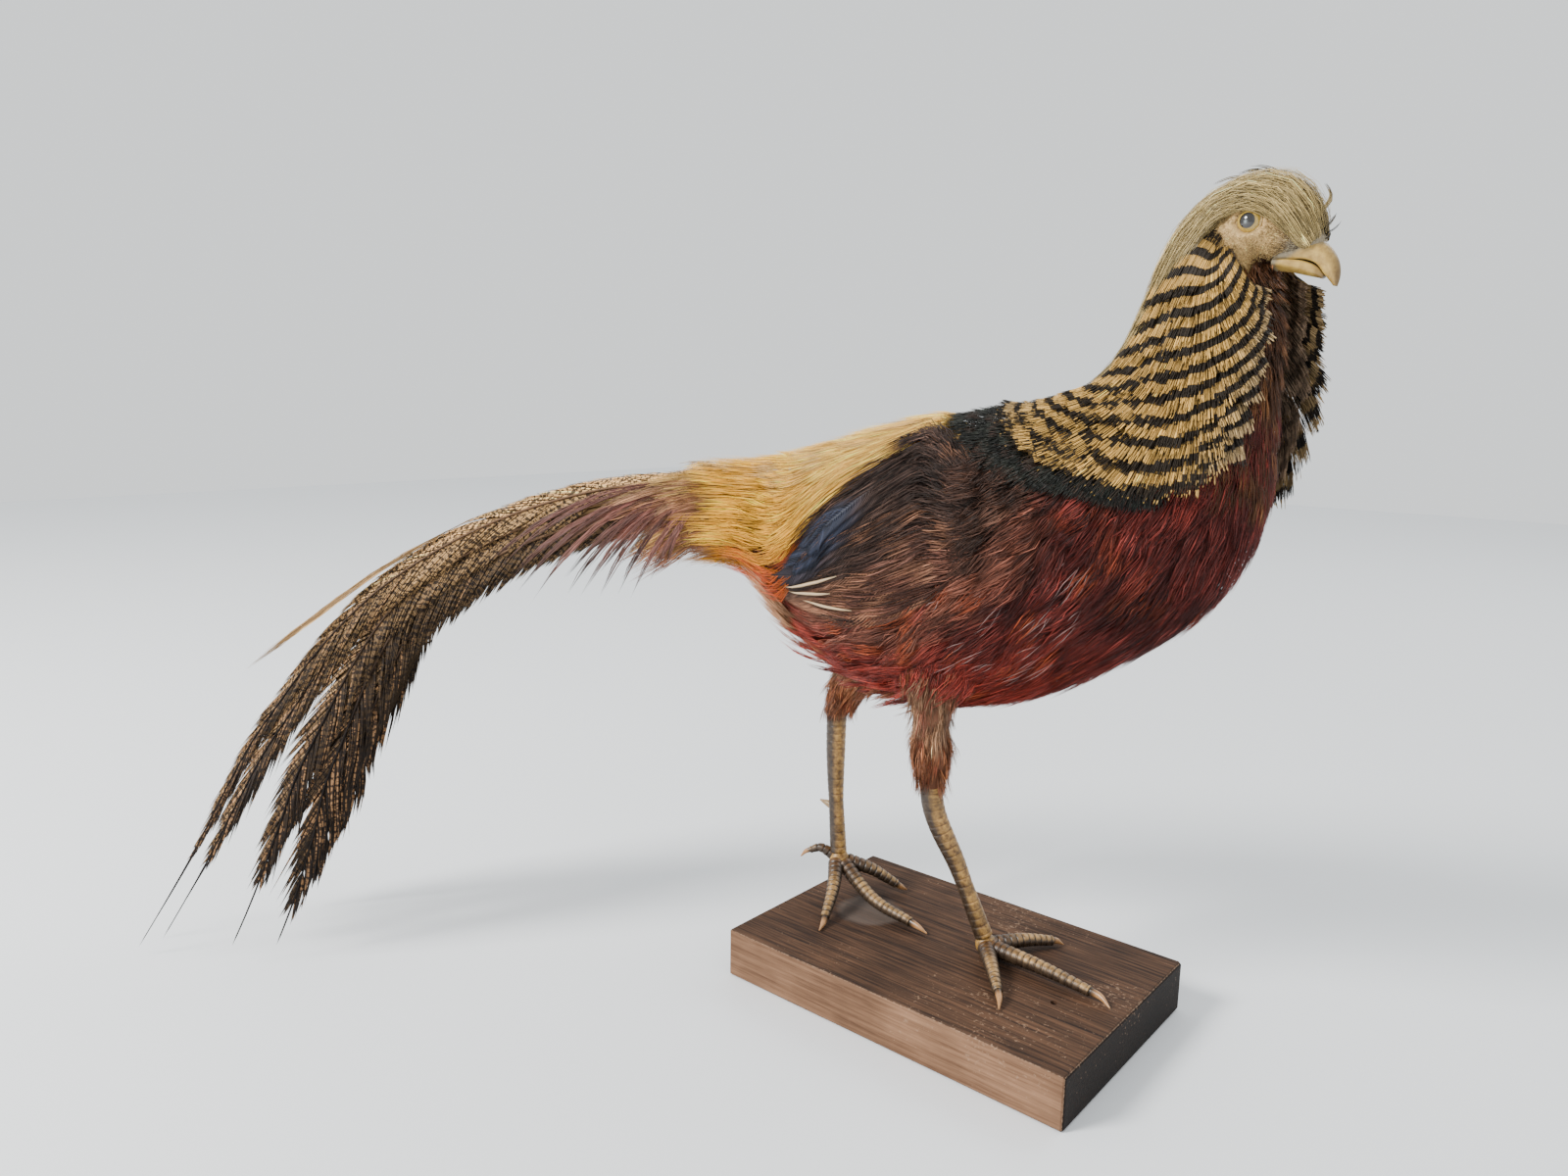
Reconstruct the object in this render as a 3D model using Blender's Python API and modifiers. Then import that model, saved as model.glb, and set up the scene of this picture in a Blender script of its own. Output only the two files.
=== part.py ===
"""A mounted golden pheasant cock on a stained wooden block, built at life size."""

import math

import bmesh
import bpy
import numpy as np

MM = 0.001
GAP = 0.35

# The wooden block, its long axis along X and its underside on the ground
BLOCK_LENGTH = 185.0
BLOCK_WIDTH = 124.0
BLOCK_HEIGHT = 25.0
BLOCK_EDGE = 1.2
NAIL_HOLE = (63.0, -14.0)
NAIL_RADIUS = 1.6
NAIL_DEPTH = 9.0

# The bird's middle plane seen from above: its heading in degrees at each
# distance along the spine, and where distance zero stands over the block
SPINE_ORIGIN = (-31.0, 3.0)
SPINE_AT = (-700.0, -450.0, -350.0, -250.0, -110.0, 0.0, 110.0, 150.0, 200.0)
SPINE_HEADING = (58.0, 58.0, 54.0, 46.0, 30.0, 16.0, 6.0, -2.0, -8.0)
SPINE_STEP = 1.0

# Sections of the body from the tail root to the bill: distance along the
# spine, height, tilt in degrees, half-width, depth above and depth below
FLESH = (
    (-88.0, 236.0, -6.0, 21.0, 19.5, 20.0),
    (-76.0, 232.0, -4.0, 28.0, 26.0, 29.0),
    (-58.0, 222.0, 2.0, 37.0, 39.0, 48.0),
    (-30.0, 214.0, 5.0, 43.5, 55.0, 61.0),
    (5.0, 214.0, 6.0, 46.0, 64.0, 68.0),
    (40.0, 220.0, 12.0, 47.0, 65.0, 68.0),
    (72.0, 233.0, 28.0, 47.0, 60.0, 62.0),
    (96.0, 251.0, 45.0, 44.0, 52.0, 59.0),
    (112.0, 270.0, 60.0, 38.0, 45.5, 48.0),
    (122.0, 288.0, 74.0, 31.0, 37.5, 34.0),
    (127.0, 306.0, 83.0, 25.0, 31.0, 27.5),
    (130.0, 325.0, 86.0, 21.5, 25.5, 23.0),
    (132.0, 341.0, 78.0, 18.5, 21.5, 17.0),
    (137.0, 353.5, 50.0, 17.0, 18.5, 14.5),
    (145.0, 360.0, 15.0, 15.5, 15.5, 14.5),
    (154.0, 358.0, -12.0, 12.5, 14.5, 12.5),
    (160.0, 354.2, -30.0, 9.2, 11.0, 8.8),
)
TORSO_STATIONS = (0, 9)
NECK_STATIONS = (9, 12)
HEAD_STATIONS = (12, 16)
ROUND = 24

# The eye in the body's own measures
EYE_AT = (144.0, 361.5)
EYE_RADIUS = 5.0
EYE_SIDE = 11.6
LID_RADIUS = 4.9
LID_THICKNESS = 0.95
LID_OUT = 1.9

# The upper and lower bill: distance, height, tilt, half-width, depth
BILL_UPPER = (
    (161.9, 352.7, -41.0, 6.8, 5.2),
    (167.8, 349.5, -62.0, 5.4, 4.2),
    (171.6, 345.3, -82.0, 4.1, 3.5),
    (173.7, 340.5, -92.0, 2.7, 2.3),
    (174.6, 336.4, -102.0, 0.8, 0.6),
)
BILL_LOWER = (
    (158.4, 345.2, -14.0, 6.0, 2.7),
    (163.5, 343.3, -24.0, 4.9, 2.7),
    (167.2, 341.2, -32.0, 3.4, 2.0),
    (169.6, 339.7, -40.0, 1.7, 0.8),
)
NOSTRIL_AT = (165.0, 352.0)
NOSTRIL_RADIUS = 1.1
NOSTRIL_SIDE = 5.6
GAPE_BACK = (151.5, 348.4)
GAPE_FRONT = (161.0, 348.0)
GAPE_SLIT = 0.6
GAPE_ACROSS = 30.0

# The ridge of the tail in the middle plane, and how the closed tail falls
# away from it on each side like a roof
TAIL_RIDGE = (
    (-84.0, 248.6), (-110.0, 253.2), (-146.0, 252.0), (-183.0, 243.5),
    (-224.0, 227.5), (-256.0, 210.5), (-285.0, 191.0), (-312.0, 163.0),
    (-334.0, 137.0), (-350.0, 115.0), (-364.0, 91.0), (-382.0, 57.0),
    (-397.0, 31.0), (-412.0, 6.0),
)
ROOF_TOP = 18.0
ROOF_SIDE = 96.0
ROOF_REACH = 76.0
ROOF_DEEP = 114.0
TAIL_SPLIT = 0.4
TAIL_NARROW_AT = (0.0, 60.0, 160.0, 260.0, 340.0, 460.0)
TAIL_NARROW = (0.50, 0.72, 0.88, 1.0, 1.0, 0.8)
TAIL_ROOT = (4.0, 34.0)
TAIL_CUT = 215.0
TAIL_BUNDLE = 14.0
TAIL_CORE = (2.0, 52.0)
TAIL_DEEP = 1.2
TAIL_WIDTH = (0.35, 0.8, 1.0, 1.0, 0.32)
TAIL_WIDTH_AT = (4.0, 90.0, 170.0)
TAIL_TAPER = 110.0
QUILL_NECK = 6.0
# The tail feathers of one side, from the middle one out: middle line below
# the ridge, how fast it falls away past the bend, half-width, reach of the
# vane and reach of the bare quill
TAIL_FEATHERS = (
    (10.5, 0.0, 9.8, 384.0, 446.0), (18.0, 0.035, 12.0, 378.0, 428.0), (27.0, 0.19, 13.5, 372.0, 411.0),
    (38.0, 0.245, 13.5, 380.0, 403.0), (50.0, 0.23, 12.0, 364.0, 384.0),
)
TAIL_BEND = 200.0
TAIL_LAYER = 1.15
TAIL_STEP = 58.0
VANE = 0.55
QUILL = 0.9

# Where the feather tracts lie: distance along the spine, then angles from
# the middle of the back to their upper and lower edge
WING_EDGES = (
    (52.0, 52.0, 88.0), (36.0, 40.0, 93.0), (20.0, 30.0, 99.0), (-7.0, 49.0, 108.0),
    (-27.0, 62.0, 110.0), (-42.0, 79.0, 112.0), (-58.0, 101.0, 116.0), (-69.0, 115.0, 121.0),
)
RUMP_EDGES = (
    (28.0, 22.0), (20.0, 24.0), (-7.0, 43.0), (-27.0, 56.0), (-42.0, 72.0), (-58.0, 93.0),
    (-70.0, 106.0), (-80.0, 113.0), (-96.0, 117.0),
)
RUMP_OVERHANG = 31.0
VENT_EDGES = ((-50.0, 22.0), (-66.0, 30.0), (-88.0, 27.0), (-104.0, 24.0))

# The cape: its first and last station along the neck at each angle
CAPE_EDGES = (
    (3.0, 12.2, 5.75), (25.0, 12.2, 5.85), (50.0, 12.3, 6.2), (75.0, 12.4, 6.9),
    (100.0, 12.3, 7.4), (120.0, 12.0, 7.9), (134.0, 11.6, 8.5),
)
# How far the front of the cape stands off the throat and drops, in stations,
# on each side: the left one hangs open as a ruff
CAPE_RUFF = {"right": (3.0, 0.0), "left": (17.0, 1.0)}
RUFF_ACROSS = (0.5, 1.0)
RUFF_ALONG = (-0.1, 0.4)
# The crest: station along the head and neck, half-angle that it covers
CREST_EDGES = (
    (15.7, 36.0), (14.6, 48.0), (13.4, 58.0), (12.4, 62.0), (11.2, 44.0), (9.9, 26.0), (8.6, 12.0),
)

# Tracts of plumes: the core they grow from, then rows as first root, last
# root, number and rise over the core, all along a tract of length 1
CORE = 1.9
SINK = -1.8
ROOT_BAND = 0.065
MIDRIB = 0.3
CORE_BEYOND = 0.1
SQUARE = (0.98, 0.92)
POINTED = (0.98, 0.0)
CAPE_ROWS = (0.02, 0.72, 6, 4.0)
CAPE_PLUMES = 6
RUMP_ROWS = (0.02, 0.74, 6, 4.6)
RUMP_PLUMES = 8
VENT_ROWS = (0.02, 0.50, 4, 7.4)
VENT_PLUMES = 4
CREST_ROWS = (0.02, 0.26, 3)
CREST_LOCKS = 9
CREST_BEYOND = (0.36, 0.46, 0.57, 0.69, 0.82)
CREST_CORE_END = 0.34
CREST_CLEAR = 9.2
CREST_LAYER = 1.4
CREST_SHORT = 0.31
CREST_GROWS = 0.34
CREST_END = 0.99
CREST_WIDE = 0.92
COVERT_ROWS = (0.02, 0.26, 3)
COVERT_LENGTH = 0.23
COVERT_CLEAR = 1.9
COVERT_OVER = 1.4
FLIGHT_ROOT = 0.34
FLIGHT_LOW = 1.2
FLIGHT_LAYER = 1.1
# The flight feathers' common stations: place along the wing, half-width in
# spacings, and share of the height over the core
FLIGHT_STATIONS = ((0.42, 0.34, 0.8), (0.52, 0.8, 0.95), (0.65, 1.05, 1.0), (0.78, 1.1, 1.0),
                   (0.90, 1.1, 1.0))
FLIGHT_TIP = 0.55
# Flight feathers from the upper edge down: place across the wing at the tip,
# and how far the tip reaches
FLIGHTS = (
    (0.16, 0.69), (0.23, 0.78), (0.33, 0.87), (0.44, 0.94),
    (0.56, 0.985), (0.69, 0.96), (0.83, 0.87),
)
# Long tail coverts: root, spacing, vane thickness and heights over the tail
COVERT_FROM = (24.0, 18.0)
COVERT_SPACE = 4.6
COVERT_VANE = 0.8
COVERT_BASE = 0.9
COVERT_LAYER = 0.7
COVERT_SHAPE = (1.0, 1.0, 1.8, 1.4, 0.3)
# How far each of them reaches and how low its tip hangs
COVERT_TIPS = (
    (154.0, 47.0), (133.0, 60.0), (114.0, 76.0), (86.0, 77.0), (62.0, 88.0), (40.0, 84.0),
)

# The legs in place over the block: x, y, z and radius along and across
THIGHS = {
    "right": ((-4.0, -14.0, 190.0, 16.5, 12.0), (-5.0, -17.0, 160.0, 13.5, 13.5),
              (-6.0, -18.0, 142.0, 12.5, 12.0), (-6.5, -15.0, 124.0, 9.8, 9.5),
              (-7.3, -12.5, 108.5, 7.6, 7.2)),
    "left": ((-58.0, 10.0, 190.0, 19.0, 11.0), (-67.0, 14.0, 165.0, 17.0, 12.5),
             (-74.0, 16.5, 147.0, 14.0, 12.0), (-79.5, 14.0, 136.0, 9.5, 9.0),
             (-83.0, 12.3, 129.5, 7.2, 6.8)),
}
SHANKS = {
    "right": ((-7.6, -12.0, 107.0), (-7.0, -11.3, 102.0), (4.2, -3.0, 68.0), (16.6, 2.7, 35.0)),
    "left": ((-83.6, 12.1, 128.2), (-83.6, 11.8, 122.0), (-81.8, 10.0, 88.0), (-78.0, 9.0, 48.6)),
}
SHANK_RADII = (5.4, 5.0, 3.9, 4.4)
SHANK_STEPS = 18
FEET = {
    "right": (18.2, 3.0, 30.7),
    "left": (-77.2, 8.8, 44.8),
}
PAD_RADIUS = 5.2
PAD_GAP = 0.1
SHANK_GAP = 0.25
TOE_GAP = 0.3
SHANK_SCUTE = 0.15
TOE_SCUTE = 0.12
HIND_SHARE = 0.75
TOES = {
    "right": {
        "inner": ((19.5, 4.5, 30.2), (30.5, 19.5, 30.8), (38.6, 31.6, 28.6), (42.7, 36.4, 25.5)),
        "middle": ((20.5, 3.0, 30.2), (48.7, 1.6, 30.2), (73.2, 0.4, 28.4), (84.7, -3.2, 25.5)),
        "outer": ((19.5, 0.5, 30.2), (32.3, -15.5, 30.2), (42.0, -27.6, 28.3), (48.1, -37.0, 25.5)),
        "hind": ((16.0, 6.0, 33.5), (10.0, 11.5, 34.0), (6.5, 14.5, 32.0), (3.2, 17.0, 27.8)),
    },
    "left": {
        "inner": ((-77.0, 6.0, 43.5), (-66.5, -10.0, 36.0), (-60.0, -24.6, 28.6), (-56.1, -34.1, 25.5)),
        "middle": ((-74.0, 8.5, 43.0), (-50.0, 3.6, 31.5), (-24.5, 0.9, 28.3), (-13.8, -0.1, 25.5)),
        "outer": ((-74.5, 12.0, 43.2), (-64.0, 20.0, 39.0), (-53.0, 29.0, 30.5), (-49.5, 34.5, 25.6)),
        "hind": ((-79.5, 7.5, 46.0), (-87.0, 4.0, 49.5), (-91.5, 1.8, 47.6), (-96.4, -0.6, 42.5)),
    },
}
TOE_RADII = (4.2, 3.5, 2.6)
TOE_STEPS = 9
CLAW_RADIUS = 2.1
CLAW_POINT = 0.35
CLAW_LIFT = 0.6
CLAW_BEND = 0.45
CLAW_START = 0.45
SPUR_RADII = (2.6, 1.8, 0.4)
SPURS = {
    "right": ((3.0, 1.5, 62.0), (-7.0, 5.5, 64.0)),
    "left": ((-81.5, 9.4, 73.0), (-90.5, 8.0, 75.0)),
}

# Finishes: colours, then how rough each kind of surface is
WOOD = (0.10, 0.055, 0.035)
BODY_RED = (0.32, 0.06, 0.03)
NECK_GOLD = (0.45, 0.28, 0.10)
EYE_YELLOW = (0.75, 0.55, 0.15)
FACE_TAN = (0.55, 0.42, 0.25)
BILL_HORN = (0.72, 0.62, 0.42)
CREST_GOLD = (0.62, 0.52, 0.30)
CAPE_GOLD = (0.62, 0.40, 0.14)
WING_BROWN = (0.10, 0.06, 0.07)
RUMP_YELLOW = (0.80, 0.55, 0.12)
VENT_TAWNY = (0.45, 0.28, 0.15)
TAIL_TAN = (0.42, 0.28, 0.13)
COVERT_RED = (0.55, 0.16, 0.12)
LEG_BROWN = (0.32, 0.22, 0.12)
THIGH_RUST = (0.45, 0.27, 0.16)
SPUR_HORN = (0.50, 0.38, 0.25)
CLAW_HORN = (0.55, 0.42, 0.32)
DOWNY = 0.85
SILKY = 0.7
STAINED = 0.6
SCALY = 0.6
HORNY = 0.4
GLASSY = 0.1


def smooth(values, at, knots):
    """Read a smooth curve through the rows of values at the given knots."""
    slopes = np.gradient(values, knots, axis=0)
    i = int(np.clip(np.searchsorted(knots, at) - 1, 0, len(knots) - 2))
    span = knots[i + 1] - knots[i]
    u = (at - knots[i]) / span
    return ((1 + 2 * u) * (1 - u) ** 2 * values[i] + u * u * (3 - 2 * u) * values[i + 1]
            + span * (u * (1 - u) ** 2 * slopes[i] + u * u * (u - 1) * slopes[i + 1]))


def chord_lengths(points):
    steps = np.linalg.norm(np.diff(points, axis=0), axis=1)
    return np.concatenate(([0.0], np.cumsum(steps)))


spine_s = np.arange(SPINE_AT[0], SPINE_AT[-1] + 60.0, SPINE_STEP)
spine_heading = np.radians(np.interp(spine_s, SPINE_AT, SPINE_HEADING))
spine_x = np.cumsum(np.cos(spine_heading)) * SPINE_STEP
spine_y = np.cumsum(np.sin(spine_heading)) * SPINE_STEP
spine_x += SPINE_ORIGIN[0] - np.interp(0.0, spine_s, spine_x)
spine_y += SPINE_ORIGIN[1] - np.interp(0.0, spine_s, spine_y)

flesh_rows = np.array(FLESH)
flesh_q = chord_lengths(flesh_rows[:, :2])
ridge_rows = np.array(TAIL_RIDGE)
ridge_a = chord_lengths(ridge_rows)


def bent(s, t, z):
    """Place distance, left offset and height along the bent middle plane."""
    heading = np.interp(s, spine_s, spine_heading)
    x = np.interp(s, spine_s, spine_x) - math.sin(heading) * t
    y = np.interp(s, spine_s, spine_y) + math.cos(heading) * t
    return (x, y, z)


def skin(q, angle, lift):
    """Point at a lift above the body, angle from the back, right side positive."""
    s, z, tilt, wide, above, below = smooth(flesh_rows, max(q, 0.0), flesh_q)
    s += min(q, 0.0)
    tilt = math.radians(tilt)
    up = math.cos(angle)
    depth = up * ((above if up > 0 else below) + lift)
    side = -math.sin(angle) * (wide + lift)
    return bent(s - math.sin(tilt) * depth, side, z + math.cos(tilt) * depth)


def roof_place(side):
    """Coordinates over the tail: x along its ridge, y down one side, h outward."""
    steps = 90
    roof_y = np.linspace(0.0, ROOF_DEEP, steps + 1)
    angles = np.radians(np.interp(roof_y, (0.0, ROOF_REACH), (ROOF_TOP, ROOF_SIDE)))
    out = np.concatenate(([0.0], np.cumsum(np.cos(angles[1:])) * ROOF_DEEP / steps))
    down = np.concatenate(([0.0], np.cumsum(np.sin(angles[1:])) * ROOF_DEEP / steps))

    def place(x, y, h):
        s, z = smooth(ridge_rows, x, ridge_a)
        s2, z2 = smooth(ridge_rows, x + 1.0, ridge_a)
        length = math.hypot(s2 - s, z2 - z)
        back_s, back_z = (s2 - s) / length, (z2 - z) / length
        narrow = np.interp(x, TAIL_NARROW_AT, TAIL_NARROW)
        slope = np.interp(y, roof_y, angles)
        outward = narrow * np.interp(y, roof_y, out) + h * math.sin(slope)
        outward = max(0.0, outward) + TAIL_SPLIT
        upward = h * math.cos(slope) - narrow * np.interp(y, roof_y, down)
        return bent(s + back_z * upward, side * outward, z - back_s * upward)

    return place


def station_q(s):
    """Distance along the body's own curve for a distance along the spine."""
    order = np.argsort(flesh_rows[:, 0])
    return float(np.interp(s, flesh_rows[order, 0], flesh_q[order], left=s - flesh_rows[0, 0]))


def along_stations(number):
    return float(np.interp(number, range(len(flesh_q)), flesh_q))


def wing_place(side):
    """Coordinates of a folded wing: x from shoulder to tip, y down it, both 0 to 1."""
    edges = np.array(WING_EDGES)
    steps = np.linspace(0.0, 1.0, len(edges))

    def place(x, y, h):
        s, upper, lower = (np.interp(x, steps, edges[:, k]) for k in range(3))
        return skin(station_q(s), side * math.radians(upper + (lower - upper) * y), h)

    return place


def rump_place(x, y, h):
    """Coordinates of the back: x from the mantle to the tail, y from left to right."""
    edges = np.array(RUMP_EDGES)
    steps = np.linspace(0.0, 1.0, len(edges))
    s, reach = (np.interp(x, steps, edges[:, k]) for k in range(2))
    s -= max(0.0, x - 1.0) * RUMP_OVERHANG / 0.25
    return skin(station_q(s), math.radians(reach) * y, h)


def vent_place(x, y, h):
    edges = np.array(VENT_EDGES)
    steps = np.linspace(0.0, 1.0, len(edges))
    s, reach = (np.interp(x, steps, edges[:, k]) for k in range(2))
    return skin(station_q(s), math.pi + math.radians(reach) * y, h)


def ease(value, low, high):
    u = min(1.0, max(0.0, (value - low) / (high - low)))
    return u * u * (3.0 - 2.0 * u)


def cape_place(side, stand, drop):
    """Coordinates of the cape: x down the neck, y from the nape to the throat."""
    edges = np.array(CAPE_EDGES)
    steps = np.linspace(0.0, 1.0, len(edges))

    def place(x, y, h):
        angle, top, low = (np.interp(y, steps, edges[:, k]) for k in range(3))
        front = ease(y, *RUFF_ACROSS)
        q = along_stations(top) * (1.0 - x) + along_stations(low - drop * front) * x
        return skin(q, side * math.radians(angle), h + stand * front * ease(x, *RUFF_ALONG))

    return place


def crest_place(x, y, h):
    """Coordinates of the crest: x from the forehead to its tips, y across."""
    edges = np.array(CREST_EDGES)
    steps = np.linspace(0.0, 1.0, len(edges))
    station, reach = (np.interp(x, steps, edges[:, k]) for k in range(2))
    return skin(along_stations(station), math.radians(reach) * y, h)


def finish(colour, rough, metal=0.0):
    material = bpy.data.materials.new("finish")
    material.use_nodes = True
    shader = material.node_tree.nodes["Principled BSDF"]
    shader.inputs["Base Color"].default_value = (*colour, 1.0)
    shader.inputs["Roughness"].default_value = rough
    shader.inputs["Metallic"].default_value = metal
    material.diffuse_color = (*colour, 1.0)
    return material


def solid(name, points, faces):
    """A closed mesh object from points in millimetres, faces turned outward."""
    mesh = bpy.data.meshes.new(name)
    mesh.from_pydata([tuple(float(c) * MM for c in p) for p in points], [], faces)
    build = bmesh.new()
    build.from_mesh(mesh)
    bmesh.ops.recalc_face_normals(build, faces=build.faces)
    build.to_mesh(mesh)
    build.free()
    obj = bpy.data.objects.new(name, mesh)
    bpy.context.scene.collection.objects.link(obj)
    return obj


def loft(name, rings):
    """Skin a row of rings of equal count and close both ends."""
    count = len(rings[0])
    points = [p for ring in rings for p in ring]
    faces = []
    for i in range(len(rings) - 1):
        for k in range(count):
            a, b = i * count + k, i * count + (k + 1) % count
            faces += [(a, b, b + count), (a, b + count, a + count)]
    last = (len(rings) - 1) * count
    for k in range(1, count - 1):
        faces += [(0, k + 1, k), (last, last + k, last + k + 1)]
    return solid(name, points, faces)


def slab(name, upper, lower):
    """Close two grids of points into a plate split alike on both faces."""
    rows, cols = len(upper), len(upper[0])
    points = [p for grid in (upper, lower) for row in grid for p in row]
    under = rows * cols
    faces = []
    for i in range(rows - 1):
        for j in range(cols - 1):
            a, b = i * cols + j, i * cols + j + 1
            c, d = b + cols, a + cols
            faces += [(a, b, c), (a, c, d)]
            faces += [(a + under, c + under, b + under), (a + under, d + under, c + under)]
    edge = [j for j in range(cols)]
    edge += [i * cols + cols - 1 for i in range(1, rows)]
    edge += [(rows - 1) * cols + j for j in range(cols - 2, -1, -1)]
    edge += [i * cols for i in range(rows - 2, 0, -1)]
    for k, a in enumerate(edge):
        b = edge[(k + 1) % len(edge)]
        faces += [(a, a + under, b + under), (a, b + under, b)]
    return solid(name, points, faces)


def keep_largest(mesh):
    """Drop every closed surface but the one with the most volume."""
    build = bmesh.new()
    build.from_mesh(mesh)
    bmesh.ops.remove_doubles(build, verts=build.verts, dist=1e-6)
    left = set(build.faces)
    shells = []
    while left:
        stack = [left.pop()]
        shell = list(stack)
        while stack:
            for edge in stack.pop().edges:
                for face in edge.link_faces:
                    if face in left:
                        left.remove(face)
                        stack.append(face)
                        shell.append(face)
        shells.append(shell)
    shells.sort(key=lambda faces: sum(f.calc_area() for f in faces))
    spare = [face for shell in shells[:-1] for face in shell]
    bmesh.ops.delete(build, geom=spare, context="FACES")
    build.to_mesh(mesh)
    build.free()


def combine(obj, others, operation):
    """Join or cut a mesh object with others, which are then removed."""
    if not others:
        return obj
    group = bpy.data.collections.new("operands")
    for other in others:
        group.objects.link(other)
    modifier = obj.modifiers.new("combine", "BOOLEAN")
    modifier.operation = operation
    modifier.solver = "MANIFOLD"
    modifier.operand_type = "COLLECTION"
    modifier.collection = group
    bpy.context.view_layer.update()
    graph = bpy.context.evaluated_depsgraph_get()
    mesh = bpy.data.meshes.new_from_object(obj.evaluated_get(graph))
    obj.modifiers.remove(modifier)
    obj.data = mesh
    for other in others:
        bpy.data.objects.remove(other)
    bpy.data.collections.remove(group)
    keep_largest(mesh)
    return obj


def node(name, obj, material):
    obj.name = name
    obj.data.name = name
    obj.data.materials.clear()
    obj.data.materials.append(material)
    material.name = name + "_finish"
    obj.data.shade_smooth()
    obj.data.set_sharp_from_angle(angle=math.radians(35.0))
    return obj


def flesh_rings(start, end, lift=0.0):
    """Rings of the body at its sections between two distances."""
    inner = [q for q in flesh_q if start + 2.0 < q < end - 2.0]
    angles = [2 * math.pi * k / ROUND for k in range(ROUND)]
    return [[skin(q, a, lift) for a in angles] for q in [start, *inner, end]]


def flesh_cutter():
    """The whole body grown by the gap, for seating what lies on it."""
    return loft("flesh_cutter", flesh_rings(flesh_q[0], flesh_q[-1], GAP + 0.1))


def patch(name, place, rows, cols, low, high):
    """A plate over a surface: rows along it, cols across, low to high."""
    upper = [[place(x, y, high) for y in cols] for x in rows]
    lower = [[place(x, y, low) for y in cols] for x in rows]
    return slab(name, upper, lower)


def make_block():
    bpy.ops.mesh.primitive_cube_add(size=1.0, location=(0, 0, BLOCK_HEIGHT * MM / 2))
    block = bpy.context.object
    size = (BLOCK_LENGTH * MM, BLOCK_WIDTH * MM, BLOCK_HEIGHT * MM)
    for vertex in block.data.vertices:
        vertex.co = [c * s for c, s in zip(vertex.co, size)]
        vertex.co.z += BLOCK_HEIGHT * MM / 2
    block.location = (0, 0, 0)
    bevel = block.modifiers.new("worn edges", "BEVEL")
    bevel.width = BLOCK_EDGE * MM
    bevel.segments = 1
    bpy.ops.object.modifier_apply(modifier=bevel.name)
    hole_z = (BLOCK_HEIGHT - NAIL_DEPTH / 2 + 1.0) * MM
    bpy.ops.mesh.primitive_cylinder_add(vertices=12, radius=NAIL_RADIUS * MM,
                                        depth=(NAIL_DEPTH + 2.0) * MM,
                                        location=(NAIL_HOLE[0] * MM, NAIL_HOLE[1] * MM, hole_z))
    hole = bpy.context.object
    combine(block, [hole], "DIFFERENCE")
    node("stand_base", block, finish(WOOD, STAINED))


def make_flesh():
    parts = (("torso", TORSO_STATIONS, BODY_RED),
             ("neck", NECK_STATIONS, NECK_GOLD))
    for name, (first, last), colour in parts:
        start = flesh_q[first] + (GAP if first else 0.0)
        body = loft(name, flesh_rings(start, flesh_q[last]))
        node(name, body, finish(colour, DOWNY))


def ball(name, centre, radius, segments=12, rings=8):
    build = bmesh.new()
    bmesh.ops.create_uvsphere(build, u_segments=segments, v_segments=rings, radius=radius)
    points = [tuple(c + o for c, o in zip(centre, v.co)) for v in build.verts]
    faces = [tuple(v.index for v in f.verts) for f in build.faces]
    build.free()
    return solid(name, points, faces)


def eye_centre(side):
    return bent(EYE_AT[0], side * EYE_SIDE, EYE_AT[1])


def ring_solid(name, centre, along, radius, thickness, segments=14, sides=5):
    """A torus about an axis through its centre."""
    axis = np.array(along) / np.linalg.norm(along)
    first = np.cross(axis, (0.0, 0.0, 1.0))
    first /= np.linalg.norm(first)
    second = np.cross(axis, first)
    points, faces = [], []
    for i in range(segments):
        a = 2 * math.pi * i / segments
        spoke = math.cos(a) * first + math.sin(a) * second
        for k in range(sides):
            b = 2 * math.pi * k / sides
            points.append(np.array(centre) + spoke * (radius + thickness * math.cos(b))
                          + axis * thickness * math.sin(b))
    for i in range(segments):
        for k in range(sides):
            a, b = i * sides + k, i * sides + (k + 1) % sides
            c, d = ((i + 1) % segments) * sides + (k + 1) % sides, ((i + 1) % segments) * sides + k
            faces += [(a, b, c), (a, c, d)]
    return solid(name, points, faces)


def make_head():
    first, last = HEAD_STATIONS
    head = loft("head", flesh_rings(flesh_q[first] + GAP, flesh_q[last]))
    lids, sockets = [], []
    for side in (1, -1):
        centre = np.array(eye_centre(side))
        outward = centre - np.array(eye_centre(-side))
        outward /= np.linalg.norm(outward)
        rim = centre + outward * LID_OUT
        lids.append(ring_solid("lid", rim, outward, LID_RADIUS, LID_THICKNESS))
        sockets.append(ball("socket", centre, EYE_RADIUS + GAP))
        node("eye_left" if side > 0 else "eye_right", ball("eye", centre, EYE_RADIUS),
             finish(EYE_YELLOW, GLASSY))
    combine(head, lids, "UNION")
    slit = [[bent(GAPE_BACK[0], t, GAPE_BACK[1]), bent(GAPE_FRONT[0], t, GAPE_FRONT[1])]
            for t in (-GAPE_ACROSS, GAPE_ACROSS)]
    upper = [[(x, y, z + GAPE_SLIT / 2) for x, y, z in row] for row in slit]
    lower = [[(x, y, z - GAPE_SLIT / 2) for x, y, z in row] for row in slit]
    combine(head, [*sockets, slab("gape", upper, lower)], "DIFFERENCE")
    node("head", head, finish(FACE_TAN, DOWNY))


def bill_rings(rows, sides=12):
    rings = []
    for s, z, tilt, wide, deep in rows:
        tilt = math.radians(tilt)
        ring = []
        for k in range(sides):
            a = 2 * math.pi * k / sides
            up = deep * math.cos(a)
            ring.append(bent(s - math.sin(tilt) * up, -wide * math.sin(a),
                             z + math.cos(tilt) * up))
        rings.append(ring)
    return rings


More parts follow.
